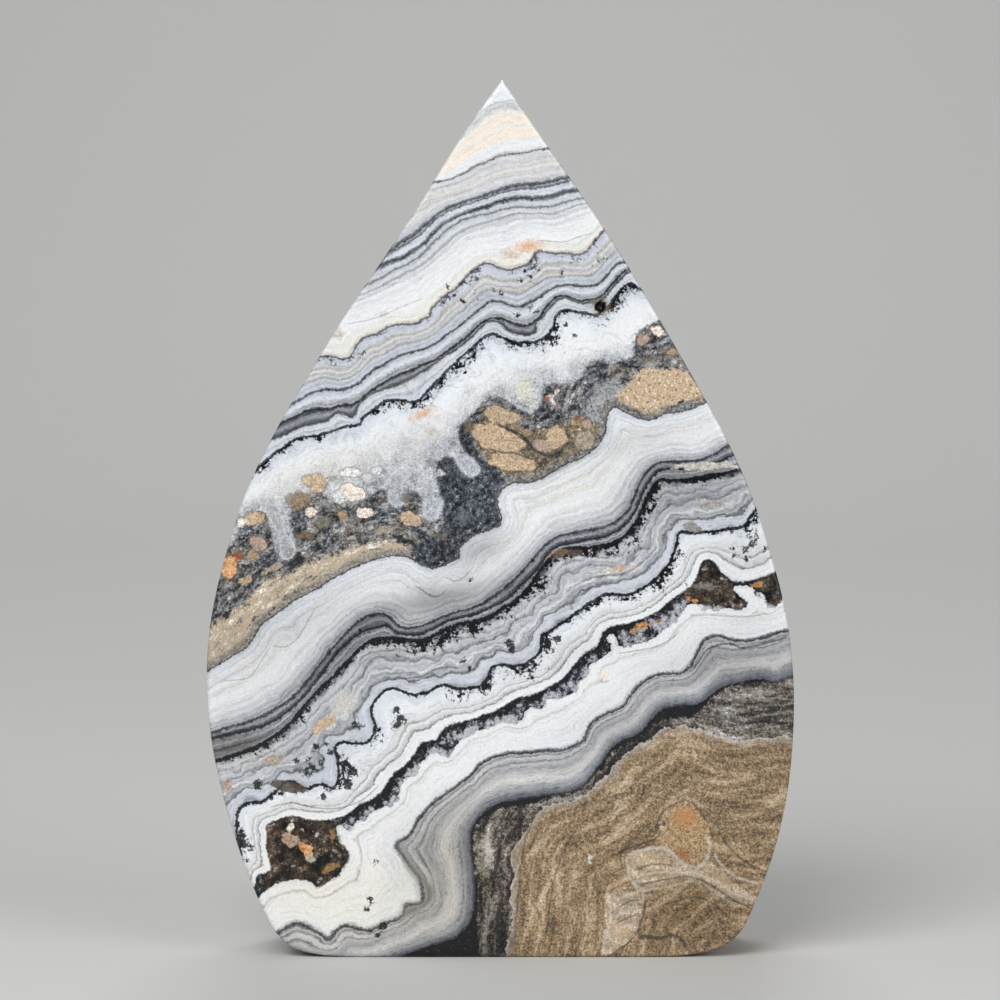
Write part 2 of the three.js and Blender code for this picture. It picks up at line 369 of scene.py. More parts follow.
def smooth_curve(points):
    """Points along the cubic curve through a line's points, CURVE_STEPS for each stretch."""
    line = np.array(points, float)
    padded = np.vstack([2 * line[0] - line[1], line, 2 * line[-1] - line[-2]])
    before, start, end, after = padded[:-3], padded[1:-2], padded[2:-1], padded[3:]
    slope_in, slope_out = (end - before) / 2, (after - start) / 2
    rows = []
    for share in np.arange(CURVE_STEPS) / CURVE_STEPS:
        cubic = (2 * start - 2 * end + slope_in + slope_out) * share**3
        square = (3 * end - 3 * start - 2 * slope_in - slope_out) * share**2
        rows.append(cubic + square + slope_in * share + start)
    return np.vstack([np.stack(rows, 1).reshape(-1, line.shape[1]), line[-1:]])


def run_on(curve):
    """Carry a seam on past both ends, first straight and then level, clear of the stone."""
    ends = []
    for first, second, side in ((curve[0], curve[1], -1), (curve[-1], curve[-2], 1)):
        heading = (first - second)[:2] / np.linalg.norm((first - second)[:2])
        beyond = first.copy()
        beyond[:2] += heading * RUN_ON_STEPS
        level = beyond.copy()
        level[0] += side * FAR_STEPS
        ends.append((beyond, level))
    return np.vstack([ends[0][1], ends[0][0], curve, ends[1][0], ends[1][1]])


def nearest(line, places):
    """For each place: its distance from a line, the distance along, and the line's third number there."""
    line = line.astype(np.float32)
    start, run = line[:-1], np.diff(line, axis=0)
    square = np.maximum((run[:, :2] ** 2).sum(1), SHORTEST_SQUARE)
    length = np.sqrt(square)
    passed = np.concatenate([[0.0], np.cumsum(length)[:-1]])
    results = []
    for first in range(0, len(places), CHUNK):
        x, y = places[first:first + CHUNK, :1], places[first:first + CHUNK, 1:2]
        off_x, off_y = x - start[:, 0], y - start[:, 1]
        share = np.clip((off_x * run[:, 0] + off_y * run[:, 1]) / square, 0, 1)
        gap = (off_x - share * run[:, 0]) ** 2 + (off_y - share * run[:, 1]) ** 2
        best = gap.argmin(1)
        rows = np.arange(len(best))
        share = share[rows, best]
        third = start[best, -1] + share * run[best, -1]
        results.append((np.sqrt(gap[rows, best]), passed[best] + share * length[best], third))
    return [np.concatenate(parts) for parts in zip(*results)]


def odd_crossings(line, places):
    """Whether a line is crossed an odd number of times on the way straight up from each place."""
    line = line.astype(np.float32)
    start, end = line[:-1], line[1:]
    width = end[:, 0] - start[:, 0]
    slope = (end[:, 1] - start[:, 1]) / np.where(width == 0, 1, width)
    results = []
    for first in range(0, len(places), CHUNK):
        x, y = places[first:first + CHUNK, :1], places[first:first + CHUNK, 1:2]
        spans = (start[:, 0] <= x) != (end[:, 0] <= x)
        above = start[:, 1] + (x - start[:, 0]) * slope < y
        results.append((spans & above).sum(1) % 2 == 1)
    return np.concatenate(results)


print(f"{len(SEAMS['tip_line'])} points make a curve of {len(smooth_curve(SEAMS['tip_line']))} points")

# %% Measure every corner from the seams
# Each swirl turns the white band round an eye: x, y, reach in steps, turn in radians
SWIRLS = [(437, 586, 12, 1.3), (458, 573, 9, -1.0), (603, 672, 8, 1.4), (287, 634, 12, -1.0),
          (545, 700, 7, 1.2)]
LEAST_MOSS_STEPS = 0.2

measures = {}


def give(name, values):
    """Keep one number for each corner. The numbers are packed into the mesh once all are known."""
    measures[name] = values


def give_colour(name, values):
    """Keep one colour for each corner of the slab."""
    layer = slab_mesh.attributes.new(name, "FLOAT_COLOR", "POINT")
    layer.data.foreach_set("color", values.astype(np.float32).ravel())


swirled = drawn.copy()
for eye_x, eye_y, reach, turn in SWIRLS:
    off = swirled - (eye_x, eye_y)
    angle = turn * np.exp(-(off**2).sum(1) / reach**2)
    swirled[:, 0] = eye_x + off[:, 0] * np.cos(angle) - off[:, 1] * np.sin(angle)
    swirled[:, 1] = eye_y + off[:, 0] * np.sin(angle) + off[:, 1] * np.cos(angle)

for name, points in SEAMS.items():
    seam = run_on(smooth_curve(points))
    gap, _, moss = nearest(seam, swirled)
    below = odd_crossings(seam, swirled)
    give(name, np.where(below, gap, -gap) * STEP_MM)
    if seam.shape[1] > 2:
        give(f"{name}_moss", np.maximum(moss, LEAST_MOSS_STEPS) * STEP_MM)
print(f"{len(measures)} measures from {len(SEAMS)} seams")

# %% [markdown]
# ## Palette
# The colours are named as a stone cutter might name them, from soot black to milk white, with the warm
# tones of the iron-stained parts. The numbers are screen values from 0 to 255.

# %% Name the colours
PALETTE = {
    "soot": (22, 23, 26), "coal": (42, 44, 50), "lead": (68, 72, 80), "slate": (98, 102, 110),
    "smoke": (132, 135, 142), "ash": (158, 161, 167), "mist": (183, 186, 192), "fog": (202, 204, 208),
    "frost": (204, 211, 223), "ice": (216, 221, 230), "pearl": (220, 221, 224), "milk": (232, 236, 240),
    "chalk": (237, 238, 240), "bone": (226, 226, 223), "cream": (238, 236, 228), "peach": (246, 232, 219),
    "beige": (210, 207, 202), "taupe": (182, 178, 172), "moth": (144, 141, 137), "sand": (196, 174, 146),
    "tan": (172, 147, 115), "amber": (226, 172, 124), "rust": (156, 88, 54), "umber": (80, 70, 60),
    "olive": (142, 132, 106), "loam": (142, 122, 95), "bark": (84, 71, 55), "oat": (196, 175, 144),
    "sage": (186, 189, 183), "rose": (184, 160, 146), "apricot": (203, 179, 150), "ochre": (188, 138, 92),
    "straw": (224, 222, 202), "honey": (148, 119, 82), "lilac": (194, 195, 206), "hazel": (117, 99, 78),
    "drab": (122, 117, 108), "paper": (206, 206, 204), "dune": (174, 163, 148), "dove": (186, 186, 187),
    "cloud": (203, 203, 203), "steel": (92, 100, 111),
}


def linear(colour):
    """A named colour, taken off the screen's standard curve to the renderer's linear values."""
    shares = [value / 255 for value in PALETTE[colour]]
    return [s / 12.92 if s <= 0.04045 else ((s + 0.055) / 1.055) ** 2.4 for s in shares] + [1.0]


print(f"{len(PALETTE)} colours")

# %% [markdown]
# ## Zones, stones and stains
# The broken belt isn't layered. Its parts have closed borders: the black mass, the pocket of tan clasts,
# the orange block, the drips of clear quartz. Pebbles and grains are ellipsoids near a face, each with
# its own colour, and stains are the same with a soft edge. Thin strokes are open lines. All of them are
# measured like the seams, so their borders stay sharp.

# %% Write down the zones
# A zone has one or more closed outlines.
ZONES = {
    "black_mass": [[(437, 458), (445, 453), (453, 455), (460, 447), (458, 432), (462, 420), (470, 428),
                    (474, 442), (483, 455), (496, 468), (506, 478), (500, 484), (497, 492), (496, 502),
                    (500, 514), (506, 522), (484, 534), (470, 540), (460, 552), (446, 566), (430, 568),
                    (418, 562), (410, 552), (416, 543), (430, 536), (440, 528), (444, 518), (441, 508),
                    (443, 498), (437, 488), (435, 474)]],
    "pocket": [[(475, 433), (484, 409), (494, 404), (505, 405), (514, 413), (522, 425), (540, 427),
                (556, 423), (569, 420), (575, 412), (586, 416), (598, 424), (597, 436), (586, 446),
                (570, 455), (553, 463), (535, 470), (513, 473), (499, 467), (488, 455), (478, 445)]],
    "block": [[(615, 391), (629, 381), (637, 371), (645, 364), (661, 364), (678, 367), (692, 374),
               (712, 392), (699, 396), (683, 398), (670, 404), (656, 409), (643, 408), (629, 402),
               (619, 398)]],
    "glass": [[(588, 403), (591, 388), (602, 378), (615, 380), (627, 382), (616, 391), (613, 397),
               (607, 398), (602, 404), (599, 414), (594, 420), (587, 413)]],
    "brown_cap": [[(640, 366), (644, 350), (652, 342), (664, 344), (676, 352), (690, 368), (676, 366),
                   (660, 364)]],
    "drips": [[(262, 498), (278, 500), (284, 515), (288, 530), (295, 540), (295, 551), (289, 557),
               (282, 555), (278, 547), (279, 538), (274, 526), (268, 514)],
              [(388, 470), (404, 470), (405, 488), (405, 499), (399, 505), (392, 503), (388, 496),
               (388, 484)],
              [(420, 478), (436, 478), (435, 494), (442, 496), (444, 502), (440, 508), (438, 514),
               (432, 518), (425, 515), (422, 506), (424, 494)],
              [(456, 458), (466, 452), (478, 462), (480, 470), (470, 474), (462, 468)]],
    "ember": [[(662, 812), (672, 804), (684, 800), (693, 803), (700, 812), (707, 823), (711, 836),
               (709, 848), (703, 858), (694, 864), (684, 862), (676, 855), (668, 848), (660, 843),
               (656, 836), (661, 828), (660, 820)]],
    "shell": [[(607, 893), (626, 890), (640, 893), (645, 903), (643, 916), (639, 930), (630, 942),
               (616, 950), (603, 957), (604, 930)],
              [(627, 866), (630, 857), (640, 850), (652, 847), (662, 847), (672, 853), (684, 863),
               (698, 868), (710, 860), (718, 866), (732, 880), (750, 892), (768, 900), (750, 904),
               (732, 896), (714, 884), (698, 877), (680, 878), (662, 883), (645, 892), (636, 886)]],
    "wedge": [[(397, 838), (405, 848), (413, 860), (424, 874), (435, 886), (435, 900), (422, 911),
               (407, 918), (398, 922), (403, 910), (409, 904), (418, 903), (423, 896), (422, 888),
               (416, 879), (407, 867), (400, 853)]],
    "nodule": [[(258, 884), (266, 866), (264, 842), (266, 824), (284, 813), (304, 814), (334, 816),
                (338, 838), (348, 850), (344, 866), (330, 880), (312, 886), (290, 880), (272, 886)],
               [(702, 556), (692, 572), (683, 588), (688, 598), (712, 603), (742, 607), (747, 599),
                (737, 588), (728, 578), (714, 565)],
               [(742, 580), (758, 577), (776, 571), (786, 590), (781, 604), (768, 600), (756, 594)]],
}
print(f"{len(ZONES)} zones")

# %% Write down the stones and stains
# x, y, width, height, turn in degrees (clockwise), colour
STONES = [
    (316, 479, 22, 18, 20, "apricot"), (300, 497, 21, 18, -20, "loam"), (353, 489, 26, 14, 25, "peach"),
    (352, 469, 16, 8, 5, "chalk"), (331, 476, 6, 5, 0, "chalk"), (341, 494, 15, 13, 0, "pearl"),
    (255, 515, 19, 13, -10, "apricot"), (241, 521, 9, 9, 0, "cream"), (311, 509, 12, 10, 0, "peach"),
    (365, 509, 17, 10, 5, "peach"), (229, 565, 15, 26, 6, "amber"), (238, 552, 11, 9, 0, "rust"),
    (258, 540, 19, 12, 25, "rose"), (410, 516, 26, 14, 15, "apricot"), (410, 494, 11, 7, 0, "drab"),
    (377, 468, 12, 9, 0, "pearl"), (252, 552, 10, 8, 0, "tan"), (325, 519, 20, 7, -10, "drab"),
    (344, 513, 14, 8, 0, "tan"), (306, 532, 13, 7, 10, "hazel"), (385, 527, 24, 6, -8, "dune"),
    (290, 548, 10, 6, 0, "taupe"), (346, 535, 16, 5, -6, "dune"), (272, 566, 18, 7, -30, "dune"),
    (246, 577, 14, 8, -40, "sand"),
    (440, 470, 6, 5, 0, "fog"), (500, 412, 38, 17, 12, "sand"), (499, 437, 56, 25, 20, "apricot"),
    (512, 459, 46, 16, 8, "apricot"), (556, 434, 19, 24, 10, "apricot"), (541, 443, 20, 13, 20, "rose"),
    (583, 437, 20, 18, -30, "dune"), (576, 415, 9, 8, 0, "rust"), (587, 420, 8, 8, 0, "rose"),
    (470, 425, 9, 7, 0, "hazel"), (549, 396, 8, 4, 30, "rust"), (553, 398, 9, 3, 60, "chalk"),
    (556, 389, 7, 6, 0, "peach"), (641, 336, 13, 10, 0, "rose"), (656, 328, 13, 9, 20, "peach"),
    (671, 349, 9, 7, 0, "tan"), (323, 722, 27, 12, -35, "apricot"), (274, 758, 24, 11, -18, "dune"),
    (227, 783, 14, 12, -30, "rose"), (287, 785, 34, 11, 8, "umber"),
    (290, 826, 5, 5, 0, "cream"), (302, 827, 6, 6, 0, "peach"), (315, 833, 5, 5, 0, "mist"),
    (304, 848, 14, 11, 25, "amber"), (332, 832, 6, 16, 0, "honey"), (330, 866, 15, 7, -35, "honey"),
    (290, 838, 16, 14, 30, "rose"), (310, 858, 9, 7, 0, "taupe"), (645, 622, 17, 7, -12, "ochre"),
    (634, 628, 7, 5, 0, "tan"), (657, 617, 6, 4, 0, "honey"), (688, 595, 15, 5, 15, "ochre"),
    (758, 581, 13, 5, -8, "ochre"), (704, 566, 8, 7, 0, "moth"), (708, 584, 30, 6, 8, "drab"),
    (690, 523, 25, 8, 15, "moth"), (606, 567, 15, 6, 5, "beige"), (619, 565, 13, 6, 0, "sand"),
    (631, 563, 12, 6, -8, "beige"), (711, 502, 24, 9, -5, "taupe"), (698, 497, 14, 6, 10, "beige"),
    (561, 550, 20, 5, -14, "hazel"), (574, 549, 16, 6, 0, "umber"), (700, 463, 66, 7, -2, "beige"),
    (590, 858, 7, 3, 60, "bone"), (563, 917, 4, 3, 0, "cream"), (664, 822, 4, 7, 10, "chalk"),
]
# The same, but with a soft edge
STAINS = [
    (528, 244, 34, 13, -6, "amber"), (510, 252, 22, 12, 10, "apricot"), (496, 251, 14, 6, 20, "bone"),
    (523, 386, 20, 26, 10, "straw"), (532, 396, 10, 16, -8, "straw"), (498, 365, 8, 7, 0, "straw"),
    (344, 700, 34, 24, -30, "beige"), (556, 550, 16, 5, -14, "rust"),
    (338, 331, 13, 12, -30, "tan"), (383, 312, 6, 4, 0, "olive"), (423, 411, 30, 11, -18, "amber"),
    (431, 428, 11, 10, 0, "apricot"), (409, 387, 7, 6, 0, "hazel"), (246, 658, 13, 10, 30, "peach"),
    (683, 853, 14, 13, 0, "rust"), (686, 816, 30, 24, 0, "ochre"),
    (620, 930, 22, 22, 0, "apricot"), (603, 672, 15, 12, 0, "peach"), (650, 857, 34, 10, -10, "oat"),
    (443, 533, 12, 11, 0, "drab"), (462, 515, 18, 16, 0, "slate"), (470, 388, 16, 14, 0, "fog"),
    (648, 357, 20, 8, 0, "hazel"), (600, 304, 20, 18, 0, "olive"), (488, 850, 12, 40, 0, "beige"),
]
print(f"{len(STONES)} stones and {len(STAINS)} stains")

# %% Write down the strokes
# Half width in steps, strength, and the points
STROKES = {
    "dark_strokes": [
        (0.5, 0.35, [(345, 322), (360, 319), (370, 317), (385, 312), (400, 305), (425, 295)]),
        (0.5, 0.45, [(535, 238), (550, 239), (560, 240), (570, 238), (580, 234), (592, 231)]),
        (1.1, 0.8, [(692, 668), (698, 660), (703, 652), (708, 646), (716, 643), (725, 641), (735, 642),
                    (744, 645), (770, 639), (790, 633)]),
        (0.9, 0.6, [(414, 582), (421, 586), (432, 593), (441, 592), (447, 586)]),
        (0.7, 0.45, [(446, 574), (455, 578), (464, 574), (471, 566)]),
        (0.7, 0.4, [(268, 642), (280, 644), (290, 642), (300, 632), (308, 618), (316, 604)]),
        (0.6, 0.35, [(222, 678), (238, 677), (250, 674), (260, 660), (270, 643)]),
        (1.6, 0.75, [(699, 713), (724, 716), (745, 720), (762, 715), (796, 712)]),
        (1.3, 0.6, [(713, 703), (735, 700), (760, 702), (796, 698)]),
        (1.8, 0.8, [(636, 936), (650, 937), (662, 938), (672, 935), (682, 939), (690, 953)]),
        (1.0, 0.8, [(646, 896), (645, 910), (641, 922), (637, 933), (628, 943), (618, 950)]),
        (1.0, 0.65, [(655, 830), (660, 816), (668, 806), (684, 799), (694, 802), (702, 812), (710, 824),
                     (714, 838)]),
        (1.2, 0.9, [(494, 420), (508, 426), (524, 434), (533, 445), (545, 452), (558, 450), (566, 440)]),
        (1.0, 0.8, [(487, 444), (500, 449), (515, 450), (530, 456)]),
        (0.7, 0.6, [(400, 676), (412, 675), (424, 673), (434, 667), (446, 664), (462, 666)]),
        (1.0, 0.55, [(572, 584), (585, 577), (598, 573), (612, 572), (625, 570), (634, 565), (642, 559),
                     (650, 552), (658, 542)]),
        (0.9, 0.85, [(678, 529), (690, 531), (704, 530)]),
        (0.5, 0.45, [(690, 613), (705, 612), (725, 613), (745, 614), (770, 610)]),
        (0.6, 0.5, [(616, 651), (635, 648), (655, 644), (668, 638), (680, 628)]),
        (0.8, 0.6, [(209, 751), (225, 747), (240, 742), (255, 738), (266, 733), (277, 726)]),
        (0.8, 0.4, [(598, 676), (604, 680), (611, 676)]),
        (0.7, 0.5, [(268, 806), (290, 801), (315, 806), (340, 806), (362, 798), (380, 782)]),
        (1.6, 0.85, [(497, 832), (500, 850), (496, 872), (502, 896), (497, 920), (500, 944)]),
        (1.1, 0.6, [(716, 818), (724, 838), (740, 856), (760, 868), (778, 872)]),
        (1.0, 0.7, [(662, 827), (658, 836), (647, 841), (631, 846), (621, 852), (623, 868)]),
        (1.0, 0.6, [(634, 869), (655, 863), (676, 864)]),
        (1.0, 0.6, [(637, 884), (664, 879), (690, 876), (712, 884), (732, 898), (753, 908)]),
        (0.9, 0.6, [(615, 909), (628, 902), (641, 898)]),
        (0.9, 0.6, [(614, 925), (627, 918), (641, 913)]),
        (1.0, 0.5, [(660, 905), (680, 900), (698, 896), (716, 904), (732, 920)]),
        (0.9, 0.5, [(598, 800), (620, 792), (646, 792), (668, 798), (688, 792)]),
        (0.9, 0.5, [(536, 812), (526, 836), (521, 866), (518, 896), (515, 930)]),
        (0.9, 0.5, [(580, 824), (566, 846), (556, 872), (550, 904), (546, 940)]),
    ],
    "pale_strokes": [
        (1.7, 1.0, [(624, 854), (643, 849), (662, 846), (673, 852), (682, 861), (697, 867), (708, 858),
                    (711, 844), (706, 834)]),
        (1.3, 0.85, [(714, 848), (720, 861), (736, 875), (756, 882), (770, 880)]),
        (1.2, 0.8, [(634, 877), (650, 873), (668, 871), (696, 873), (716, 880), (734, 892), (757, 900)]),
        (1.1, 0.7, [(644, 890), (668, 886), (694, 880), (712, 888), (736, 905)]),
        (1.4, 0.85, [(626, 852), (628, 866), (632, 880), (642, 892), (646, 903)]),
        (1.3, 0.8, [(608, 890), (611, 904), (610, 925), (606, 940), (602, 957)]),
        (1.4, 0.9, [(616, 900), (626, 895), (638, 892)]),
        (1.5, 0.9, [(615, 917), (628, 910), (642, 905)]),
        (1.4, 0.85, [(614, 932), (626, 926), (639, 922)]),
        (0.8, 0.28, [(700, 884), (710, 900), (718, 920), (722, 938)]),
        (0.8, 0.28, [(520, 858), (514, 880), (512, 905), (509, 932), (507, 955)]),
        (0.8, 0.28, [(548, 820), (540, 842), (533, 868), (530, 896), (524, 930)]),
        (0.8, 0.28, [(588, 790), (612, 782), (640, 780), (668, 786), (694, 798), (716, 816)]),
        (0.7, 0.25, [(566, 812), (588, 806), (612, 803), (634, 806)]),
    ],
}
print(f"{sum(len(strokes) for strokes in STROKES.values())} strokes")

# %% Write down the shades, specks and vugs
# Soft shades: x, y, width, height, turn in degrees, and how much darker the middle is
SHADES = [
    (440, 596, 130, 30, -12, 0.55), (520, 570, 60, 26, -45, 0.2), (232, 744, 70, 20, -14, 0.5),
    (330, 655, 110, 18, -42, 0.35), (690, 488, 120, 44, -4, 0.28), (745, 552, 60, 60, 0, 0.12),
    (640, 500, 60, 60, 0, 0.1), (320, 752, 90, 50, -30, 0.12), (640, 440, 110, 34, -10, 0.16),
    (720, 660, 140, 50, -5, 0.24), (420, 860, 60, 110, 20, 0.16), (620, 720, 90, 50, -25, 0.1),
    (520, 775, 90, 24, -4, -0.14), (700, 905, 130, 90, 0, 0.3), (760, 800, 60, 110, 0, 0.1),
    (545, 890, 60, 120, 0, -0.1), (430, 440, 60, 50, 0, 0.14), (470, 500, 50, 60, 0, -0.32),
    (500, 945, 60, 40, 0, 0.3), (478, 545, 60, 34, -20, 0.4), (290, 625, 200, 60, -25, 0.2),
    (400, 640, 150, 40, -25, 0.16), (745, 618, 90, 40, 0, 0.1), (610, 300, 60, 30, -20, 0.1),
    (770, 590, 30, 20, 0, 0.15), (250, 696, 130, 60, -25, 0.1), (575, 725, 110, 40, -25, 0.05),
    (580, 650, 90, 30, -20, 0.1),
]
# Soft warmth: the same, and how warm the middle is
WARMTH = [
    (345, 905, 200, 100, 0, 1.0), (460, 870, 120, 150, 0, 0.9), (330, 466, 120, 40, -15, 0.5),
    (250, 560, 70, 200, 30, 0.4), (700, 890, 170, 120, 0, 1.0), (240, 745, 60, 30, 0, 1.0),
    (300, 850, 70, 70, 0, 1.0), (700, 465, 90, 14, 0, 0.6), (500, 130, 60, 60, 0, 0.1),
    (560, 480, 120, 40, -20, 0.4),
]
# Single specks and loose tufts of moss: x, y, radius in steps
SPECKS = [
    (524, 268, 2.2), (531, 274, 2.4), (537, 267, 1.8), (520, 277, 2.0), (448, 284, 1.8), (455, 292, 2.4),
    (463, 299, 2.0), (531, 305, 2.2), (517, 312, 2.6), (536, 309, 2.0), (545, 334, 3.0), (553, 341, 3.2),
    (558, 312, 2.0), (566, 322, 2.4), (574, 333, 2.0), (296, 759, 2.6), (307, 756, 2.8), (315, 745, 3.4),
    (313, 767, 3.6), (306, 772, 3.4), (321, 760, 3.0), (257, 783, 4.5), (355, 722, 3.0), (361, 724, 2.6),
    (463, 658, 2.6), (470, 666, 2.2), (509, 640, 4.6), (512, 647, 3.4), (757, 534, 3.0), (752, 540, 3.4),
    (745, 546, 3.0), (765, 545, 2.6), (748, 556, 3.2), (733, 545, 2.2), (396, 708, 4.2), (400, 717, 5.2),
    (395, 724, 3.4), (343, 762, 5.0), (352, 770, 5.4), (347, 782, 5.0), (557, 637, 4.0), (548, 640, 3.0),
    (540, 576, 3.6), (240, 832, 5.0), (243, 842, 5.6), (322, 795, 3.4), (361, 629, 2.0), (375, 861, 2.4),
    (492, 286, 1.8), (500, 290, 2.2), (478, 297, 1.8), (560, 270, 1.6), (735, 553, 2.2), (471, 575, 2.0),
    (330, 751, 3.0), (327, 741, 2.4), (309, 764, 3.0), (226, 612, 4.0), (300, 556, 5.0), (292, 561, 4.0),
    (383, 925, 4.0), (378, 934, 3.4), (369, 899, 3.4), (366, 908, 2.4),
]
# Small holes: x, y, radius in steps, depth in millimetres
VUGS = [
    (600, 304, 6.5, 0.9), (551, 151, 3.5, 0.3), (385, 252, 3.5, 0.3), (373, 270, 3.0, 0.25),
    (320, 354, 4.0, 0.3), (664, 822, 3.5, 0.35), (458, 519, 3.5, 0.3), (303, 848, 3.5, 0.25),
]

print(f"{len(SHADES)} shades, {len(SPECKS)} specks and {len(VUGS)} vugs")

# %% Measure the shades, specks and zones
# What a corner's distance starts at, in steps, until something nearer is found
UNREACHED = 99.0


def in_ellipse(x, y, width, height, degrees):
    """Each corner's place in an ellipse's own frame, in shares of its half width and half height."""
    turn = math.radians(degrees)
    off_x, off_y = drawn[:, 0] - x, drawn[:, 1] - y
    along = (off_x * math.cos(turn) + off_y * math.sin(turn)) / (width / 2)
    off = (off_y * math.cos(turn) - off_x * math.sin(turn)) / (height / 2)
    return along, off


def soft_sum(rows):
    """The sum of many soft round spots at each corner."""
    total = np.zeros(len(drawn))
    for *ellipse, amount in rows:
        along, off = in_ellipse(*ellipse)
        total += amount * np.exp(-(along**2 + off**2))
    return total


give("shade", soft_sum(SHADES))
speck = np.full(len(drawn), -UNREACHED)
for x, y, radius in SPECKS:
    gap = np.hypot(np.hypot(drawn[:, 0] - x, drawn[:, 1] - y), from_face / STEP_MM)
    speck = np.maximum(speck, radius - gap)
give("specks", speck * STEP_MM)
give("warmth", soft_sum(WARMTH))
for name, outlines in ZONES.items():
    inside = np.full(len(drawn), -UNREACHED)
    for outline in outlines:
        ring = smooth_curve([*outline, outline[0]])
        gap, _, _ = nearest(ring, drawn)
        inside = np.maximum(inside, np.where(odd_crossings(ring, drawn), gap, -gap))
    give(name, inside * STEP_MM)
print(f"{len(measures)} measures with the shades, specks and zones")

# %% Measure the stones and stains
# How deep a pebble is for its size on the face, and how deep inside itself a slim one can count
PEBBLE_DEPTH = 1.2
SLIM_REACH = 1.4


def give_ellipsoids(name, rows):
    """How far inside the nearest of many ellipsoids each corner lies, and that ellipsoid's colour."""
    best = np.full(len(drawn), -UNREACHED)
    tone = np.tile(linear("milk"), (len(drawn), 1))
    for x, y, width, height, degrees, colour in rows:
        along, off = in_ellipse(x, y, width, height, degrees)
        middling = math.sqrt(width * height) / 2
        behind = from_face / STEP_MM / (middling * PEBBLE_DEPTH)
        reach = min(middling, min(width, height) / 2 * SLIM_REACH)
        inside = (1 - np.sqrt(along**2 + off**2 + behind**2)) * reach
        nearer = inside > best
        best = np.where(nearer, inside, best)
        tone[nearer] = linear(colour)
    give(name, best * STEP_MM)
    give_colour(f"{name}_colour", tone)


give_ellipsoids("stones", STONES)
give_ellipsoids("stains", STAINS)
print(f"{len(measures)} measures with the stones and stains")

# %% Measure the strokes
# A stroke fades over this length at its ends
FADE_STEPS = 5.0
# It also fades where the next stroke is nearly as near, less than this much further away
CLEAR_STEPS = 4
# Past this distance every corner counts as equally far
STROKE_REACH_STEPS = 40

for name, strokes in STROKES.items():
    closest = np.full(len(drawn), UNREACHED)
    second = np.full(len(drawn), UNREACHED)
    side = np.ones(len(drawn))
    strength = np.zeros(len(drawn))
    width = np.ones(len(drawn))
    for half_width, boldness, points in strokes:
        curve = smooth_curve(points)
        gap, along, _ = nearest(curve, drawn)
        whole = np.linalg.norm(np.diff(curve, axis=0), axis=1).sum()
        fade = np.clip(np.minimum(along, whole - along) / FADE_STEPS, 0, 1)
        over = odd_crossings(run_on(curve), drawn)
        nearer = gap < closest
        second = np.where(nearer, closest, np.minimum(second, gap))
        closest = np.where(nearer, gap, closest)
        side = np.where(nearer, np.where(over, 1.0, -1.0), side)
        strength = np.where(nearer, boldness * fade, strength)
        width = np.where(nearer, half_width, width)
    clear = np.clip((second - closest) / CLEAR_STEPS, 0, 1)
    give(name, np.clip(closest, 0, STROKE_REACH_STEPS) * side / width)
    give(f"{name}_strength", strength * clear)
print(f"{len(measures)} measures with the strokes")

# %% [markdown]
# ## Vugs and dishes
# Polishing leaves small holes where a crystal pocket was open, and it dishes the soft granular parts a
# little, because they wear faster than the bands. Both are real shape, so the corners of the faces are
# pushed into the stone by their depth. The material also paints the holes soot black by their depth,
# which is painted shade.

# %% Sink the vugs and dish the soft parts
DISH_DEPTH_MM = 0.06
# How far inside its border a soft part is dished in full
DISH_SLOPE_MM = 2
# A corner this near to a face, as a share of the thickness, is on it
ON_FACE = 0.001

sunk = np.zeros(len(drawn))
for x, y, radius, deep in VUGS:
    off = np.hypot(across - x, down - y) / radius
    sunk = np.maximum(sunk, deep * np.clip(1 - off**2, 0, 1))

under_rubble_top = np.clip(measures["rubble_top"] / DISH_SLOPE_MM, 0, 1)
over_breccia_foot = np.clip(-measures["breccia_foot"] / DISH_SLOPE_MM, 0, 1)
under_host_top = np.clip(measures["host_top"] / DISH_SLOPE_MM, 0, 1)
soft_parts = np.maximum(under_rubble_top * over_breccia_foot, under_host_top)
on_front = depth < ON_FACE
on_back = depth > 1 - ON_FACE
sunk_front = (sunk + DISH_DEPTH_MM * soft_parts) * on_front
corners[:, 1] += (sunk_front - DISH_DEPTH_MM * soft_parts * on_back) / MM_PER_METRE
slab_mesh.vertices.foreach_set("co", corners.ravel())
# The depth of the vugs on the front face is kept for the material, which paints shade into the holes with it
give("vug", sunk * on_front)
print(f"{int((sunk * on_front > 0).sum())} corners in the vugs")

# %% Pack the measures in threes
# The renderer looks an attribute up by its place in a list, so few wide attributes are faster than many.
packed = list(measures)
for first in range(0, len(packed), 3):
    trio = [measures[name] for name in packed[first:first + 3]]
    trio += [np.zeros(len(drawn))] * (3 - len(trio))
    layer = slab_mesh.attributes.new(f"measures_{first // 3}", "FLOAT_VECTOR", "POINT")
    layer.data.foreach_set("vector", np.stack(trio, axis=1).ravel())
print(f"{len(packed)} measures in {len(slab_mesh.attributes)} attributes")

# %% [markdown]
# ## Shader arithmetic
# A material made of rules is mostly arithmetic. Placing each Math node by hand hides the idea, so one
# small class stands for a socket: adding, multiplying or comparing two of them adds the node.

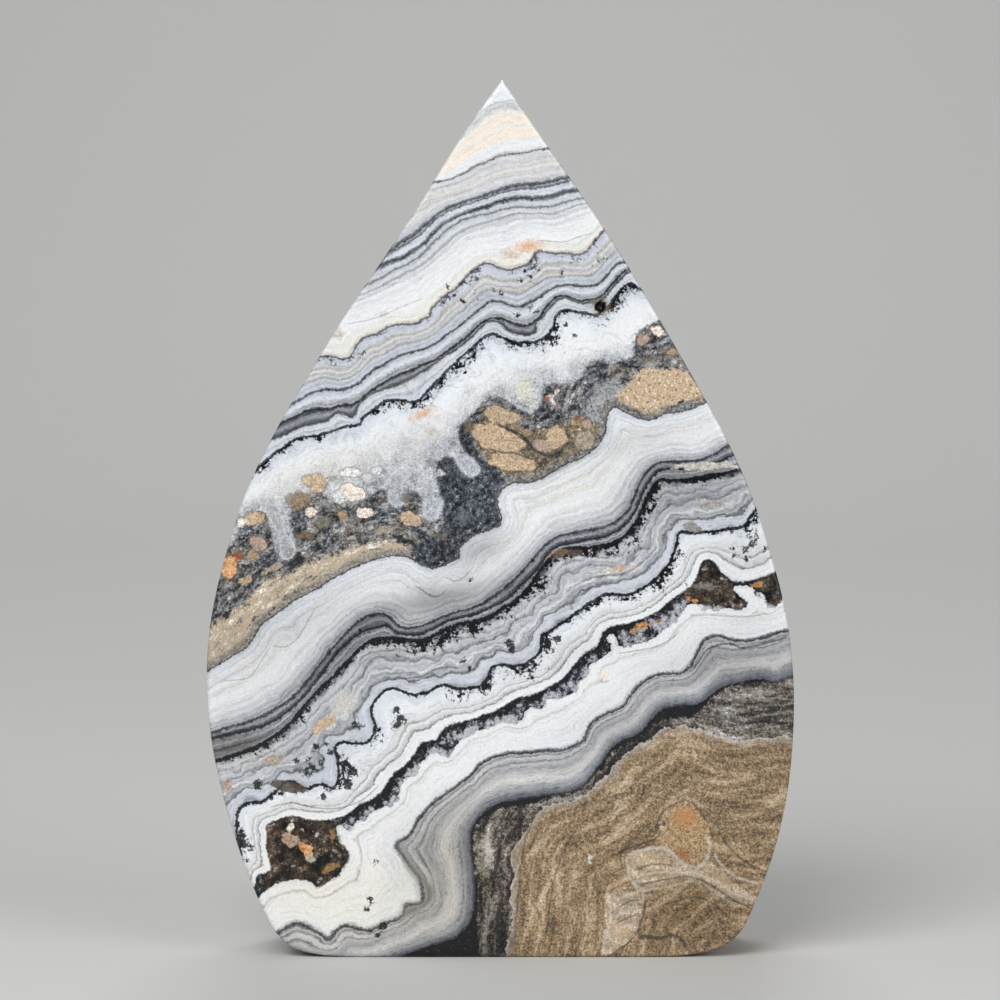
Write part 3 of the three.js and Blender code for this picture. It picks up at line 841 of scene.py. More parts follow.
# %% A socket that does sums
class Wire:
    """One socket of the agate's material. Arithmetic on it adds Math nodes."""

    tree = None

    def __init__(self, socket):
        self.socket = socket

    @staticmethod
    def node(kind, settings=None, inputs=None, output=0):
        """Add a node: its settings first, then the values or links of its sockets."""
        made = Wire.tree.nodes.new(kind)
        for name, value in (settings or {}).items():
            if name == "stops":
                fill_ramp(made.color_ramp, value)
            else:
                setattr(made, name, value)
        for key, value in (inputs or {}).items():
            if isinstance(value, Wire):
                Wire.tree.links.new(value.socket, made.inputs[key])
            else:
                made.inputs[key].default_value = value
        return Wire(made.outputs[output]) if made.outputs else None

    @staticmethod
    def sum_node(operation, *values):
        """Add a Math node for an operation on one, two or three values."""
        return Wire.node("ShaderNodeMath", {"operation": operation}, dict(enumerate(values)))

    def __add__(self, other):
        return Wire.sum_node("ADD", self, other)

    def __radd__(self, other):
        return Wire.sum_node("ADD", other, self)

    def __sub__(self, other):
        return Wire.sum_node("SUBTRACT", self, other)

    def __rsub__(self, other):
        return Wire.sum_node("SUBTRACT", other, self)

    def __mul__(self, other):
        return Wire.sum_node("MULTIPLY", self, other)

    def __rmul__(self, other):
        return Wire.sum_node("MULTIPLY", other, self)

    def __truediv__(self, other):
        return Wire.sum_node("DIVIDE", self, other)

    def __rtruediv__(self, other):
        return Wire.sum_node("DIVIDE", other, self)

    def __neg__(self):
        return Wire.sum_node("MULTIPLY", self, -1.0)

    def __abs__(self):
        return Wire.sum_node("ABSOLUTE", self)

    def at_least(self, other):
        return Wire.sum_node("MAXIMUM", self, other)

    def at_most(self, other):
        return Wire.sum_node("MINIMUM", self, other)

    def clamped(self):
        return Wire.node("ShaderNodeClamp", None, {"Value": self})

    def times_plus(self, factor, added):
        return Wire.sum_node("MULTIPLY_ADD", self, factor, added)

    def rising(self, low, high, top=1.0):
        """0 up to low and top from high, smooth between them. With low above high it falls."""
        inputs = {"Value": self, "From Min": low, "From Max": high, "To Max": top}
        return Wire.node("ShaderNodeMapRange", {"interpolation_type": "SMOOTHSTEP"}, inputs)


def fill_ramp(colour_ramp, stops):
    """Set a colour ramp from (position, colour) stops."""
    while len(colour_ramp.elements) < len(stops):
        colour_ramp.elements.new(1.0)
    for element, (position, colour) in zip(colour_ramp.elements, stops):
        element.position = position
        element.color = linear(colour)


# %% Helpers for colours, noise and masks
# The Mix node has sockets for each kind of data, and these are the ones for colours.
MIX_FIRST = 6
MIX_SECOND = 7
MIX_RESULT = 2
# How much wider than its range a stretched noise is on each side, as a share of the range
SPREAD_MARGIN = 0.16
# Half the width of a soft border, in millimetres at a sharpness of 1
HALF_BORDER = 0.6
LINE_SOFTNESS_MM = 0.05


def blend_colours(first, second, factor):
    """The first colour where the factor is 0 and the second where it is 1."""
    inputs = {"Factor": factor, MIX_FIRST: first, MIX_SECOND: second}
    return Wire.node("ShaderNodeMix", {"data_type": "RGBA"}, inputs, output=MIX_RESULT)


def shaded(colour, factor):
    """A colour made lighter or darker by a factor."""
    return Wire.node("ShaderNodeVectorMath", {"operation": "SCALE"}, {0: colour, "Scale": factor})


def joined(x, y, z):
    """One vector from three wires."""
    return Wire.node("ShaderNodeCombineXYZ", None, {0: x, 1: y, 2: z})


def taken_apart(wire, kind="ShaderNodeSeparateXYZ"):
    """The three parts of a vector, or of a colour where the kind of node says so."""
    return [Wire(part) for part in Wire.node(kind, None, {0: wire}).socket.node.outputs]


def stored(name, output):
    """What the mesh holds under a name, read as a Vector or a Color."""
    return Wire.node("ShaderNodeAttribute", {"attribute_name": name}, None, output)


measure_wires = {}


def measure(name):
    """A measure's wire. Its trio is read and taken apart once."""
    if name not in measure_wires:
        trio = packed.index(name) // 3
        parts = taken_apart(stored(f"measures_{trio}", "Vector"))
        measure_wires.update(zip(packed[trio * 3:trio * 3 + 3], parts))
    return measure_wires[name]


def noise(vector, scale, detail, roughness):
    """Cloudy noise about 0.5, with a scale in lumps for each millimetre."""
    inputs = {"Vector": vector, "Scale": scale, "Detail": detail, "Roughness": roughness}
    return Wire.node("ShaderNodeTexNoise", {"noise_dimensions": "3D"}, inputs)


def ramp(place, stops):
    """The colour at a place from 0 to 1 between named stops."""
    return Wire.node("ShaderNodeValToRGB", {"stops": stops}, {"Fac": place})


def spread(value, low, high):
    """Stretch a range of noise over 0 to 1."""
    margin = (high - low) * SPREAD_MARGIN
    return value.rising(low - margin, high + margin)


def edge(value, sharpness=10.0):
    """A mask that is 1 where a measure is positive, with a border of about 1 / sharpness millimetres."""
    return value.rising(-HALF_BORDER / sharpness, HALF_BORDER / sharpness)


def line_on(value, half_width, strength=1.0):
    """A thin line where a measure is near 0."""
    return abs(value).rising(half_width + LINE_SOFTNESS_MM, half_width - LINE_SOFTNESS_MM, strength)


def thread(value, level, thinness):
    """A fine line wherever a noise passes a level."""
    return 1.0 - (abs(value - level) * thinness).clamped()


print("soot in the renderer's values:", [round(part, 4) for part in linear("soot")])

# %% Start the material
polish = bpy.data.materials.new("polished_banded_agate")
polish.use_nodes = True
Wire.tree = polish.node_tree
Wire.tree.nodes.clear()
metres = Wire.node("ShaderNodeTexCoord", None, None, "Object")
mm = Wire.node("ShaderNodeVectorMath", {"operation": "SCALE"}, {0: metres, "Scale": MM_PER_METRE})
x_mm, _, z_mm = taken_apart(mm)
print(f"{len(Wire.tree.nodes)} nodes to find a place in the stone")

# %% [markdown]
# ## Layers
# Between two neighbouring seams a layer has its own order of bands. Each recipe gives the colours from
# the upper seam, 0, to the lower one, 1. How far down a point lies in its layer is its distance from the
# upper seam divided by the sum of its distances from both, so every band follows the two seams as real
# layers do. The number before the colours says how many fine growth lines fit in the layer.

# %% Write down the layers
LAYERS = {
    "tip_thread": (8, [(0, "pearl"), (0.1, "fog"), (0.2, "cream"), (0.34, "peach"), (0.46, "cream"),
                       (0.6, "peach"), (0.7, "cream"), (0.78, "milk"), (0.92, "milk"),
                       (1, "fog")]),
    "tip_line": (10, [(0, "mist"), (0.1, "pearl"), (0.25, "fog"), (0.36, "pearl"), (0.42, "beige"),
                      (0.5, "pearl"), (0.6, "beige"), (0.66, "fog"), (0.76, "pearl"), (0.86, "fog"),
                      (0.93, "lilac"), (1, "smoke")]),
    "upper_dark": (3, [(0, "slate"), (0.14, "sage"), (0.26, "smoke"), (0.36, "slate"), (0.46, "frost"),
                       (0.85, "ice"), (1, "frost")]),
    "lower_dark": (3, [(0, "lead"), (0.2, "slate"), (0.36, "ash"), (0.5, "frost"), (0.8, "fog"),
                       (1, "mist")]),
    "grey_thread": (2, [(0, "smoke"), (0.3, "fog"), (0.7, "ice"), (1, "mist")]),
    "pale_thread": (10, [(0, "mist"), (0.05, "pearl"), (0.12, "fog"), (0.17, "milk"), (0.27, "pearl"),
                         (0.33, "milk"), (0.6, "chalk"), (0.72, "chalk"), (0.8, "bone"), (0.9, "cream"),
                         (0.96, "beige"), (1, "cream")]),
    "cream_foot": (14, [(0, "ash"), (0.05, "lilac"), (0.2, "frost"), (0.28, "fog"), (0.36, "taupe"),
                        (0.44, "pearl"), (0.52, "mist"), (0.6, "beige"), (0.68, "ash"), (0.74, "frost"),
                        (0.84, "mist"), (0.9, "frost"), (1, "ash")]),
    "slate_thread": (4, [(0, "smoke"), (0.12, "mist"), (0.3, "frost"), (0.5, "ice"), (0.68, "mist"),
                         (0.8, "ash"), (0.9, "mist"), (1, "smoke")]),
    "slate_band": (3, [(0, "lead"), (0.25, "slate"), (0.5, "ash"), (0.75, "slate"), (1, "lead")]),
    "slate_foot": (3, [(0, "ash"), (0.15, "fog"), (0.45, "ice"), (0.6, "mist"), (0.7, "frost"),
                       (0.9, "frost"), (1, "ash")]),
    "fern_line": (6, [(0, "mist"), (0.02, "frost"), (0.06, "ice"), (0.12, "milk"), (0.3, "chalk"),
                      (0.5, "milk"), (1, "milk")]),
    "breccia_foot": (15, [(0, "ash"), (0.03, "fog"), (0.08, "ice"), (0.16, "milk"), (0.26, "pearl"),
                          (0.32, "milk"), (0.42, "bone"), (0.46, "milk"), (0.6, "chalk"), (0.68, "pearl"),
                          (0.73, "milk"), (0.79, "fog"), (0.83, "pearl"), (0.88, "mist"), (0.91, "fog"),
                          (0.94, "ash"), (0.97, "mist"), (1, "slate")]),
    "white_foot": (2, [(0, "lead"), (0.25, "smoke"), (0.5, "ash"), (0.7, "slate"), (1, "lead")]),
    "shadow_line": (7, [(0, "lead"), (0.07, "slate"), (0.18, "ash"), (0.26, "smoke"), (0.36, "mist"),
                        (0.48, "ash"), (0.56, "slate"), (0.62, "ash"), (0.76, "smoke"), (0.86, "ash"),
                        (0.94, "slate"), (1, "lead")]),
    "saw_line": (11, [(0, "slate"), (0.04, "smoke"), (0.1, "mist"), (0.18, "fog"), (0.25, "ash"),
                      (0.28, "fog"), (0.36, "mist"), (0.43, "smoke"), (0.46, "fog"), (0.55, "mist"),
                      (0.6, "pearl"), (0.66, "ash"), (0.7, "mist"), (0.76, "slate"), (0.79, "fog"),
                      (0.87, "frost"), (0.95, "lilac"), (1, "ash")]),
    "moss_line": (8, [(0, "ice"), (0.1, "ice"), (0.28, "milk"), (0.52, "pearl"), (0.57, "taupe"),
                      (0.6, "milk"), (0.7, "fog"), (0.74, "moth"), (0.77, "milk"), (0.94, "chalk"),
                      (1, "fog")]),
    "crumb_top": (3, [(0, "soot"), (1, "soot")]),
    "crumb_foot": (9, [(0, "fog"), (0.05, "milk"), (0.2, "chalk"), (0.26, "beige"), (0.29, "milk"),
                       (0.56, "chalk"), (0.7, "milk"), (0.9, "milk"), (0.96, "fog"), (1, "ash")]),
    "grey_head": (16, [(0, "slate"), (0.03, "slate"), (0.06, "dove"), (0.1, "smoke"), (0.13, "cloud"),
                       (0.19, "dove"), (0.22, "smoke"), (0.25, "dove"), (0.36, "ash"), (0.46, "dove"),
                       (0.58, "cloud"), (0.66, "dove"), (0.76, "ash"), (0.86, "smoke"), (0.94, "slate"),
                       (1, "coal")]),
    "black_head": (2, [(0, "soot"), (1, "soot")]),
    "black_foot": (6, [(0, "coal"), (0.15, "moth"), (0.4, "hazel"), (0.6, "moth"), (0.8, "umber"),
                       (1, "coal")]),
    "host_top": (1, [(0, "loam"), (1, "loam")]),
}
# How far the bands of a layer stray from their seams, as a share of the layer
STRAYING = {"saw_line": 0.5, "cream_foot": 0.2, "breccia_foot": 0.14, "moss_line": 0.16, "shadow_line": 0.2,
            "crumb_foot": 0.14, "grey_head": 0.06}

# The dark line along a seam: its half width in millimetres, strength and colour
SEAM_LINES = {
    "tip_thread": (0.08, 0.4, "moth"), "tip_line": (0.1, 0.6, "slate"), "upper_dark": (0.16, 0.75, "slate"),
    "lower_dark": (0.17, 0.75, "slate"), "grey_thread": (0.1, 0.55, "slate"),
    "pale_thread": (0.09, 0.4, "smoke"), "cream_foot": (0.12, 0.8, "lead"),
    "slate_thread": (0.11, 0.8, "lead"), "slate_band": (0.12, 0.8, "coal"), "slate_foot": (0.1, 0.6, "lead"),
    "fern_line": (0.15, 0.95, "coal"), "breccia_foot": (0.16, 0.9, "coal"), "white_foot": (0.11, 0.7, "lead"),
    "shadow_line": (0.12, 0.8, "coal"), "saw_line": (0.17, 1.0, "soot"), "moss_line": (0.15, 1.0, "soot"),
    "crumb_top": (0.1, 0.7, "lead"), "grey_head": (0.16, 0.7, "lead"),
}

# A line that runs beside a seam: the seam, how far below in millimetres, half width, strength, colour
ECHOES = [
    ("breccia_foot", 0.85, 0.05, 0.4, "ash"), ("breccia_foot", 1.7, 0.05, 0.35, "moth"),
    ("breccia_foot", 2.6, 0.04, 0.25, "taupe"), ("crumb_foot", 1.2, 0.04, 0.35, "taupe"),
    ("tip_thread", 0.45, 0.05, 0.3, "mist"), ("saw_line", 1.9, 0.05, 0.3, "smoke"),
    ("fern_line", 0.5, 0.05, 0.3, "lilac"), ("host_top", 1.6, 0.1, 0.3, "umber"),
]
print(f"{len(LAYERS)} layers, {len(SEAM_LINES)} seam lines and {len(ECHOES)} lines beside seams")

# %% Measure how far down its layer each place is
HOST_DEPTH_MM = 40.0
THINNEST_LAYER_MM = 0.02

# The noises that the whole stone shares. Drift and grit bend borders, and the others colour and tear.
drift = noise(mm, 0.9, detail=2.0, roughness=0.6) - 0.5
grit = noise(mm, 3.6, detail=1.0, roughness=0.7) - 0.5
gravel = noise(mm, 2.2, detail=3.0, roughness=0.8)
sand_grain = noise(mm, 4.8, detail=1.0, roughness=0.8)
slow = noise(mm, 0.42, detail=1.0, roughness=0.5)
twig = noise(mm, 2.2, detail=3.0, roughness=0.85)
tuft = noise(mm, 0.8, detail=1.0, roughness=0.5)
wobble = drift * 0.32 + grit * 0.3
seam_names = list(LAYERS)
distance = {name: measure(name) + wobble for name in SEAMS}
share = {}
for upper, lower in zip(seam_names, seam_names[1:]):
    span = (distance[upper] - distance[lower]).at_least(THINNEST_LAYER_MM)
    share[upper] = (distance[upper] / span).clamped()
share[seam_names[-1]] = (distance[seam_names[-1]] / HOST_DEPTH_MM).clamped()

# The growth number rises by each layer's count of growth lines, so noise on it lies along the layers.
growth = 0.0
for name in seam_names:
    growth = share[name].times_plus(float(LAYERS[name][0]), growth)
growth = growth + (slow - 0.5) * 2.6
lamina = noise(joined(growth, x_mm * 0.06, z_mm * 0.06), 1.6, detail=3.0, roughness=0.6)
print(f"{len(Wire.tree.nodes)} nodes to measure the layers")

# %% Stack the layers
dark_thread = thread(lamina, 0.5, 40.0)
pale_thread = thread(lamina, 0.6, 30.0)
agate = linear("milk")
small_stray = (lamina - 0.5) * 0.08
wide_stray = slow * 0.6 + tuft * 0.4 - 0.5
for name in seam_names:
    stray = small_stray
    if name in STRAYING:
        stray = wide_stray.times_plus(STRAYING[name], small_stray)
    band = ramp(share[name] + stray, LAYERS[name][1])
    agate = blend_colours(agate, band, edge(distance[name], 16.0))
lightness = Wire.node("ShaderNodeRGBToBW", None, {"Color": agate})
contrast = 0.1 + (0.85 - lightness).at_least(0.0) * 0.5
threads = dark_thread * 1.7 - pale_thread * 0.6 + (lamina - 0.5) * 1.3
agate = shaded(agate, 1.0 - (threads + (gravel - 0.5) * 2.4) * contrast)

patchy = (gravel * 0.9 + 0.55).clamped()
for name, (half_width, strength, colour) in SEAM_LINES.items():
    agate = blend_colours(agate, linear(colour), line_on(distance[name], half_width, strength) * patchy)
for name, offset, half_width, strength, colour in ECHOES:
    echo = line_on(distance[name] - offset, half_width, strength)
    agate = blend_colours(agate, linear(colour), echo * patchy)
print(f"{len(Wire.tree.nodes)} nodes with the layers")

# %% [markdown]
# ## The broken belt
# Under the white band with the fern-like fringe, clear quartz crystals grew towards a bed of broken
# rock. The rock is a cell pattern whose cells are crumbs of their own tone, between dark joints. Noise
# bends the cells, because real crumbs have no straight sides. Sand is too fine for cells, so it is plain
# noise in tan tones.

# %% Make the crumbs
STREAK_WEIGHT = 1.6

bend = joined(grit * 1.3, drift * 1.6, grit * 1.3)
bent = Wire.node("ShaderNodeVectorMath", {"operation": "ADD"}, {0: mm, 1: bend})
ragged = (gravel - 0.5) * 1.1


class Crumbs:
    """A cell pattern: each cell has its own number, and its joints are far from any middle."""

    def __init__(self, scale):
        inputs = {"Vector": bent, "Scale": scale}
        self.middle = Wire.node("ShaderNodeTexVoronoi", None, inputs)
        own_colour = Wire(self.middle.socket.node.outputs["Color"])
        self.number = taken_apart(own_colour, "ShaderNodeSeparateColor")[0]
        joint = (1.3 - self.middle * 1.4).clamped()
        self.shade = joint * 0.65 + (sand_grain * 1.4 - 0.35)
        self.place = self.number * 0.5 + (gravel * 1.7 - 1.4)

    def tones(self, stops, streak=None):
        """Crumbs coloured by their own numbers through a ramp, and darker at the joints."""
        if streak is None:
            place = self.place + STREAK_WEIGHT / 2
        else:
            place = streak.times_plus(STREAK_WEIGHT, self.place)
        return shaded(ramp(place, stops), self.shade)


def in_zone(name, tear, sharpness, sway=0.0):
    """A mask inside a zone. Ragged noise tears its border, and drift sways it where asked."""
    border = measure(name) + ragged * tear
    if sway:
        border = border + drift * sway
    return edge(border, sharpness)


fine_crumbs = Crumbs(2.7)
coarse_crumbs = Crumbs(1.5)
print(f"{len(Wire.tree.nodes)} nodes with the crumbs")

# %% Grow the crystals and lay the rubble
THINNEST_DRUSE_MM = 0.1

druse_top, rubble_top = distance["druse_top"], distance["rubble_top"]
toward_rubble = (druse_top / (druse_top - rubble_top).at_least(THINNEST_DRUSE_MM)).clamped()
above_foot = edge(-distance["breccia_foot"])
druse = edge(druse_top + (gravel - 0.5) * 4.0, 0.8) * above_foot
rings = Wire.sum_node("SINE", coarse_crumbs.middle * 22.0)
crystal = spread(sand_grain * 0.34 + gravel * 0.5 + rings * 0.03 + tuft * 0.4, 0.46, 0.82)
crystal_colour = ramp(crystal, [(0, "lead"), (0.14, "slate"), (0.32, "ash"), (0.5, "mist"), (0.7, "fog"),
                                (0.88, "milk"), (1, "chalk")])
agate = blend_colours(agate, crystal_colour, druse * (0.22 + toward_rubble * 0.7))

in_rubble = edge(rubble_top + ragged * 0.8, 4.0) * above_foot
rubble_place = joined(distance["breccia_foot"] * 1.7, x_mm * 0.45, z_mm * 0.45)
rubble_flow = noise(rubble_place, 1.0, detail=3.0, roughness=0.74)
dark_rock = fine_crumbs.tones([(0, "soot"), (0.22, "coal"), (0.36, "lead"), (0.5, "slate"), (0.66, "smoke"),
                               (0.8, "ash"), (0.92, "mist"), (1, "milk")], rubble_flow)
brown_rock = coarse_crumbs.tones([(0, "coal"), (0.18, "umber"), (0.32, "drab"), (0.46, "moth"), (0.62, "ash"),
                                  (0.78, "taupe"), (0.9, "beige"), (1, "chalk")], rubble_flow)
rock = blend_colours(dark_rock, brown_rock, spread(rubble_flow * 0.5 + tuft * 0.5, 0.46, 0.54))
sand_mix = spread(rubble_flow * 0.6 + sand_grain * 0.16 + gravel * 0.24, 0.36, 0.61)
sand = ramp(sand_mix, [(0, "coal"), (0.08, "umber"), (0.17, "drab"), (0.28, "moth"), (0.38, "dune"),
                       (0.5, "sand"), (0.6, "dune"), (0.74, "oat"), (0.88, "beige"), (1, "peach")])
in_sand = edge(distance["sand_top"] + ragged * 1.8, 2.0)
rock = blend_colours(rock, shaded(sand, 1.0 + gravel * 0.26), in_sand * 0.92)
print(f"{len(Wire.tree.nodes)} nodes with the crystals and the rubble")

# %% Set the zones into the belt
black_rock = fine_crumbs.tones([(0, "soot"), (0.22, "soot"), (0.36, "coal"), (0.48, "lead"), (0.6, "steel"),
                                (0.74, "slate"), (0.86, "ash"), (1, "sage")])
in_black_mass = in_zone("black_mass", 0.8, 4.0)
rock = blend_colours(rock, black_rock, in_black_mass)
pocket_sand = coarse_crumbs.tones([(0, "soot"), (0.16, "bark"), (0.32, "drab"), (0.5, "olive"), (0.66, "tan"),
                                   (0.84, "sand"), (1, "peach")])
rock = blend_colours(rock, pocket_sand, in_zone("pocket", 0.9, 4.0))
block_mix = spread(gravel * 0.55 + sand_grain * 0.45, 0.36, 0.62)
block_sand = ramp(block_mix, [(0, "bark"), (0.1, "hazel"), (0.22, "tan"), (0.4, "apricot"), (0.6, "sand"),
                              (0.76, "apricot"), (1, "peach")])
rock = blend_colours(rock, block_sand, in_zone("block", 0.9, 3.0, sway=2.0))
rock = blend_colours(rock, brown_rock, in_zone("brown_cap", 0.8, 4.0) * 0.8)
glass = ramp(spread(sand_grain * 0.5 + gravel * 0.5, 0.36, 0.64), [(0, "slate"), (0.4, "ash"), (1, "sage")])
rock = blend_colours(rock, glass, in_zone("glass", 1.4, 1.6, sway=1.5) * 0.75)
olive_rim = ramp(block_mix, [(0, "coal"), (0.3, "slate"), (0.6, "drab"), (1, "taupe")])
rim_mask = edge(distance["breccia_foot"] + 0.65 + ragged * 1.2, 2.5) * (1.0 - in_black_mass)
rock = blend_colours(rock, olive_rim, rim_mask * 0.75)
agate = blend_colours(agate, rock, in_rubble)

# The drips are clear quartz that hangs down over the rock.
drip = measure("drips") + ragged * 0.3
drip_rings = Wire.sum_node("SINE", drip * 9.0)
drip_place = spread(drip_rings * 0.05 + sand_grain * 0.3 + gravel * 0.4, 0.18, 0.5)
drip_colour = ramp(drip_place, [(0, "smoke"), (0.3, "ash"), (0.6, "mist"), (1, "frost")])
agate = blend_colours(agate, drip_colour, edge(drip, 1.8) * above_foot * 0.85)
drip_skin = line_on(drip - 0.1, 0.05) * in_rubble * gravel
agate = blend_colours(agate, linear("milk"), drip_skin)
print(f"{len(Wire.tree.nodes)} nodes with the broken belt")

# %% [markdown]
# ## Crumbs and host rock
# Low in the stone a torn black seam holds pockets of grey glassy quartz, and brown nodules at its ends.
# The foot is the tan rock that the agate grew on: sand in flowing bands, with an iron-stained eye. The
# bands could be drawn one by one, but here their noise is measured from the seam above, so they flow
# along it without being drawn.

# %% Fill the crumb seam
torn = (twig - 0.5) * 1.6
knobs = (tuft - 0.5) * 2.4 + torn * 0.16
crumb_top, crumb_foot = distance["crumb_top"], distance["crumb_foot"]
crumb = edge(crumb_top + torn * 0.1, 9.0) * edge(-crumb_foot + knobs, 6.0)
crumb_depth = crumb_top.at_most(1.0)
pocket_place = spread(twig * 0.6 + tuft * 0.4 + (crumb_depth - 0.7) * 0.14, 0.4, 0.6)
crumb_colour = ramp(pocket_place, [(0, "soot"), (0.26, "soot"), (0.4, "coal"), (0.54, "lead"),
                                   (0.74, "smoke"), (1, "mist")])
nodule_colour = coarse_crumbs.tones([(0, "soot"), (0.26, "coal"), (0.42, "bark"), (0.56, "umber"),
                                     (0.7, "hazel"), (0.86, "moth"), (1, "bone")])
nodule_colour = shaded(nodule_colour, 0.68 + (tuft - 0.5) * 2.6)
crumb_colour = blend_colours(crumb_colour, nodule_colour, in_zone("nodule", 0.7, 4.0))
agate = blend_colours(agate, shaded(crumb_colour, 1.0 + (sand_grain - 0.5) * 0.9), crumb)

# The wedge is a dark fold where the grey bands turn down.
wedge = measure("wedge")
wedge_colour = ramp(spread(wedge + ragged * 0.5, 0.0, 1.0), [(0, "ash"), (0.4, "moth"), (1, "lead")])
wedge_colour = shaded(wedge_colour, 0.9 + (gravel - 0.5) * 1.6)
agate = blend_colours(agate, wedge_colour, spread(wedge + ragged * 0.4, -0.3, 0.5))
print(f"{len(Wire.tree.nodes)} nodes with the crumb seam")

# %% Lay the black rim and the host rock
STRIP_SHADE_MM = 14.0

black = edge(distance["black_head"] - 0.2 + ragged * 0.5, 5.0)
black_place = spread(gravel * 0.6 + sand_grain * 0.4, 0.42, 0.68)
black_colour = ramp(black_place, [(0, "soot"), (0.5, "soot"), (0.74, "coal"), (0.9, "lead"), (1, "moth")])
agate = blend_colours(agate, black_colour, black)

# The strip is the dark rock between the black rim and the host.
strip = edge(distance["black_foot"].at_least(distance["host_top"] + 0.5) + 0.3 + ragged * 0.6, 4.0)
host_place = joined(distance["host_top"] * 1.1, x_mm * 0.2, z_mm * 0.2)
host_flow = noise(host_place, 1.0, detail=3.0, roughness=0.66)
strip_place = spread(host_flow * 0.5 + gravel * 0.3 + sand_grain * 0.2, 0.39, 0.62)
strip_colour = ramp(strip_place, [(0, "soot"), (0.22, "coal"), (0.42, "umber"), (0.6, "drab"), (0.78, "moth"),
                                  (0.93, "taupe"), (1, "chalk")])
# The strip grows darker towards the foot, over its lowest STRIP_SHADE_MM
strip_colour = shaded(strip_colour, 0.62 + (z_mm / STRIP_SHADE_MM).clamped() * 0.34)
agate = blend_colours(agate, strip_colour, strip)

to_host = distance["host_top"] + drift * 0.9
host = edge(to_host, 8.0)
host_mix = spread(host_flow * 0.38 + sand_grain * 0.3 + gravel * 0.32, 0.37, 0.64)
host_colour = ramp(host_mix, [(0, "umber"), (0.12, "bark"), (0.28, "hazel"), (0.46, "loam"), (0.66, "tan"),
                              (0.82, "dune"), (0.94, "oat"), (1, "beige")])
flow_line = thread(host_flow, 0.5, 26.0)
host_colour = shaded(host_colour, 1.1 - flow_line * 0.25 + (host_flow - 0.5) * 0.6)
ember_colour = ramp(block_mix, [(0, "bark"), (0.26, "honey"), (0.6, "tan"), (1, "apricot")])
host_colour = blend_colours(host_colour, ember_colour, in_zone("ember", 0.5, 2.5))
shell = measure("shell") + ragged * 0.2
shell_rings = Wire.sum_node("SINE", x_mm * 1.2 + z_mm * 3.4 + shell * 1.5 + drift * 4.0)
shell_place = spread(shell_rings * 0.06 + sand_grain * 0.4 + gravel * 0.6, 0.36, 0.66)
shell_colour = ramp(shell_place, [(0, "loam"), (0.3, "dune"), (0.6, "oat"), (1, "peach")])
host_colour = blend_colours(host_colour, shell_colour, edge(shell, 4.0) * 0.85)
rim = (1.0 - to_host / 0.8).clamped() * (0.1 + gravel)
host_colour = blend_colours(host_colour, linear("taupe"), rim * 0.8)
agate = blend_colours(agate, host_colour, host)
rim_line = line_on(to_host - 0.03, 0.06) * gravel
agate = blend_colours(agate, linear("beige"), rim_line)
print(f"{len(Wire.tree.nodes)} nodes with the host rock")

# %% [markdown]
# ## Moss, pebbles, stains and strokes
# Black manganese moss hangs from four of the seams, and a short fuzz from some more. Its twigs are too
# many to draw one by one, so coarse noise decides where a tuft hangs and fine noise tears its edge. The
# stains come next, then the pebbles, each with a dark skin, and last the thin strokes, the soft shades
# and the painted shade in the vugs, which are painted soot black by their depth.

# %% Hang the moss
# How deep the fuzz hangs from a seam, in millimetres, and how much of a seam's length the moss covers
FUZZ = {"upper_dark": 0.3, "lower_dark": 0.35, "slate_thread": 0.2, "slate_band": 0.25, "white_foot": 0.25,
        "shadow_line": 0.3, "grey_head": 0.2, "tip_line": 0.15}
MOSS_COVER = {"fern_line": 0.3, "saw_line": 0.46, "moss_line": 0.34}

mossy = (twig - 0.5) * 3.2 + (tuft - 0.5) * 1.6


def hang_fuzz(colour, name, reach_mm):
    """Short dark fuzz below a seam."""
    below = distance[name]
    thick = below.times_plus(-0.6 / reach_mm, mossy + 0.34)
    return blend_colours(colour, linear("soot"), thick.rising(0.0, 0.2, 0.6) * edge(below, 20.0))


def hang_moss(colour, name, strength, cover, thinning=0.6):
    """Black moss with a grey haze below a seam: its cover at the seam and how fast it thins out."""
    below = distance[name]
    thick = (below / measure(f"{name}_moss")).times_plus(-thinning, mossy + cover)
    under = edge(below, 20.0)
    colour = blend_colours(colour, linear("slate"), thick.rising(-0.4, 0.9, strength * 0.5) * under)
    return blend_colours(colour, linear("soot"), thick.rising(0.0, 0.22, strength) * under)


for name, reach_mm in FUZZ.items():
    agate = hang_fuzz(agate, name, reach_mm)
for name, cover in MOSS_COVER.items():
    agate = hang_moss(agate, name, 1.0, cover)
agate = hang_moss(agate, "cream_foot", 0.8, cover=-0.12, thinning=0.22)
loose = measure("specks") * 3.6 + 0.14 + (twig - 0.5) * 6.0
agate = blend_colours(agate, linear("slate"), (loose * 1.2 + 0.3).clamped() * 0.5)
agate = blend_colours(agate, linear("soot"), (loose * 5.0 - 0.4).clamped() * 0.9)
print(f"{len(Wire.tree.nodes)} nodes with the moss")

# %% Set the stains and pebbles and draw the strokes
WARM_TINT = (1.0, 0.955, 0.875)

stain = stored("stains_colour", "Color")
stain_mask = spread(measure("stains") + (gravel - 0.5) * 1.8 + 0.1, -0.1, 0.8)
agate = blend_colours(agate, shaded(stain, 0.97 + (sand_grain - 0.5) * 0.8), stain_mask * 0.85)

pebble = measure("stones") + drift * 1.4 + (gravel - 0.5) * 0.4
pebble_colour = stored("stones_colour", "Color")
pebble_grain = 0.98 + (gravel - 0.5) * 1.5 + (sand_grain - 0.5) * 1.4 + (fine_crumbs.number - 0.5) * 0.2
pebble_colour = shaded(pebble_colour, pebble_grain - (fine_crumbs.middle - 0.45).at_least(0.0) * 0.35)
skin = line_on(pebble + 0.05, 0.12) * edge(-distance["breccia_foot"], 2.0) * (gravel * 0.9)
agate = blend_colours(agate, linear("umber"), skin.clamped())
agate = blend_colours(agate, pebble_colour, edge(pebble, 6.0) * 0.9)

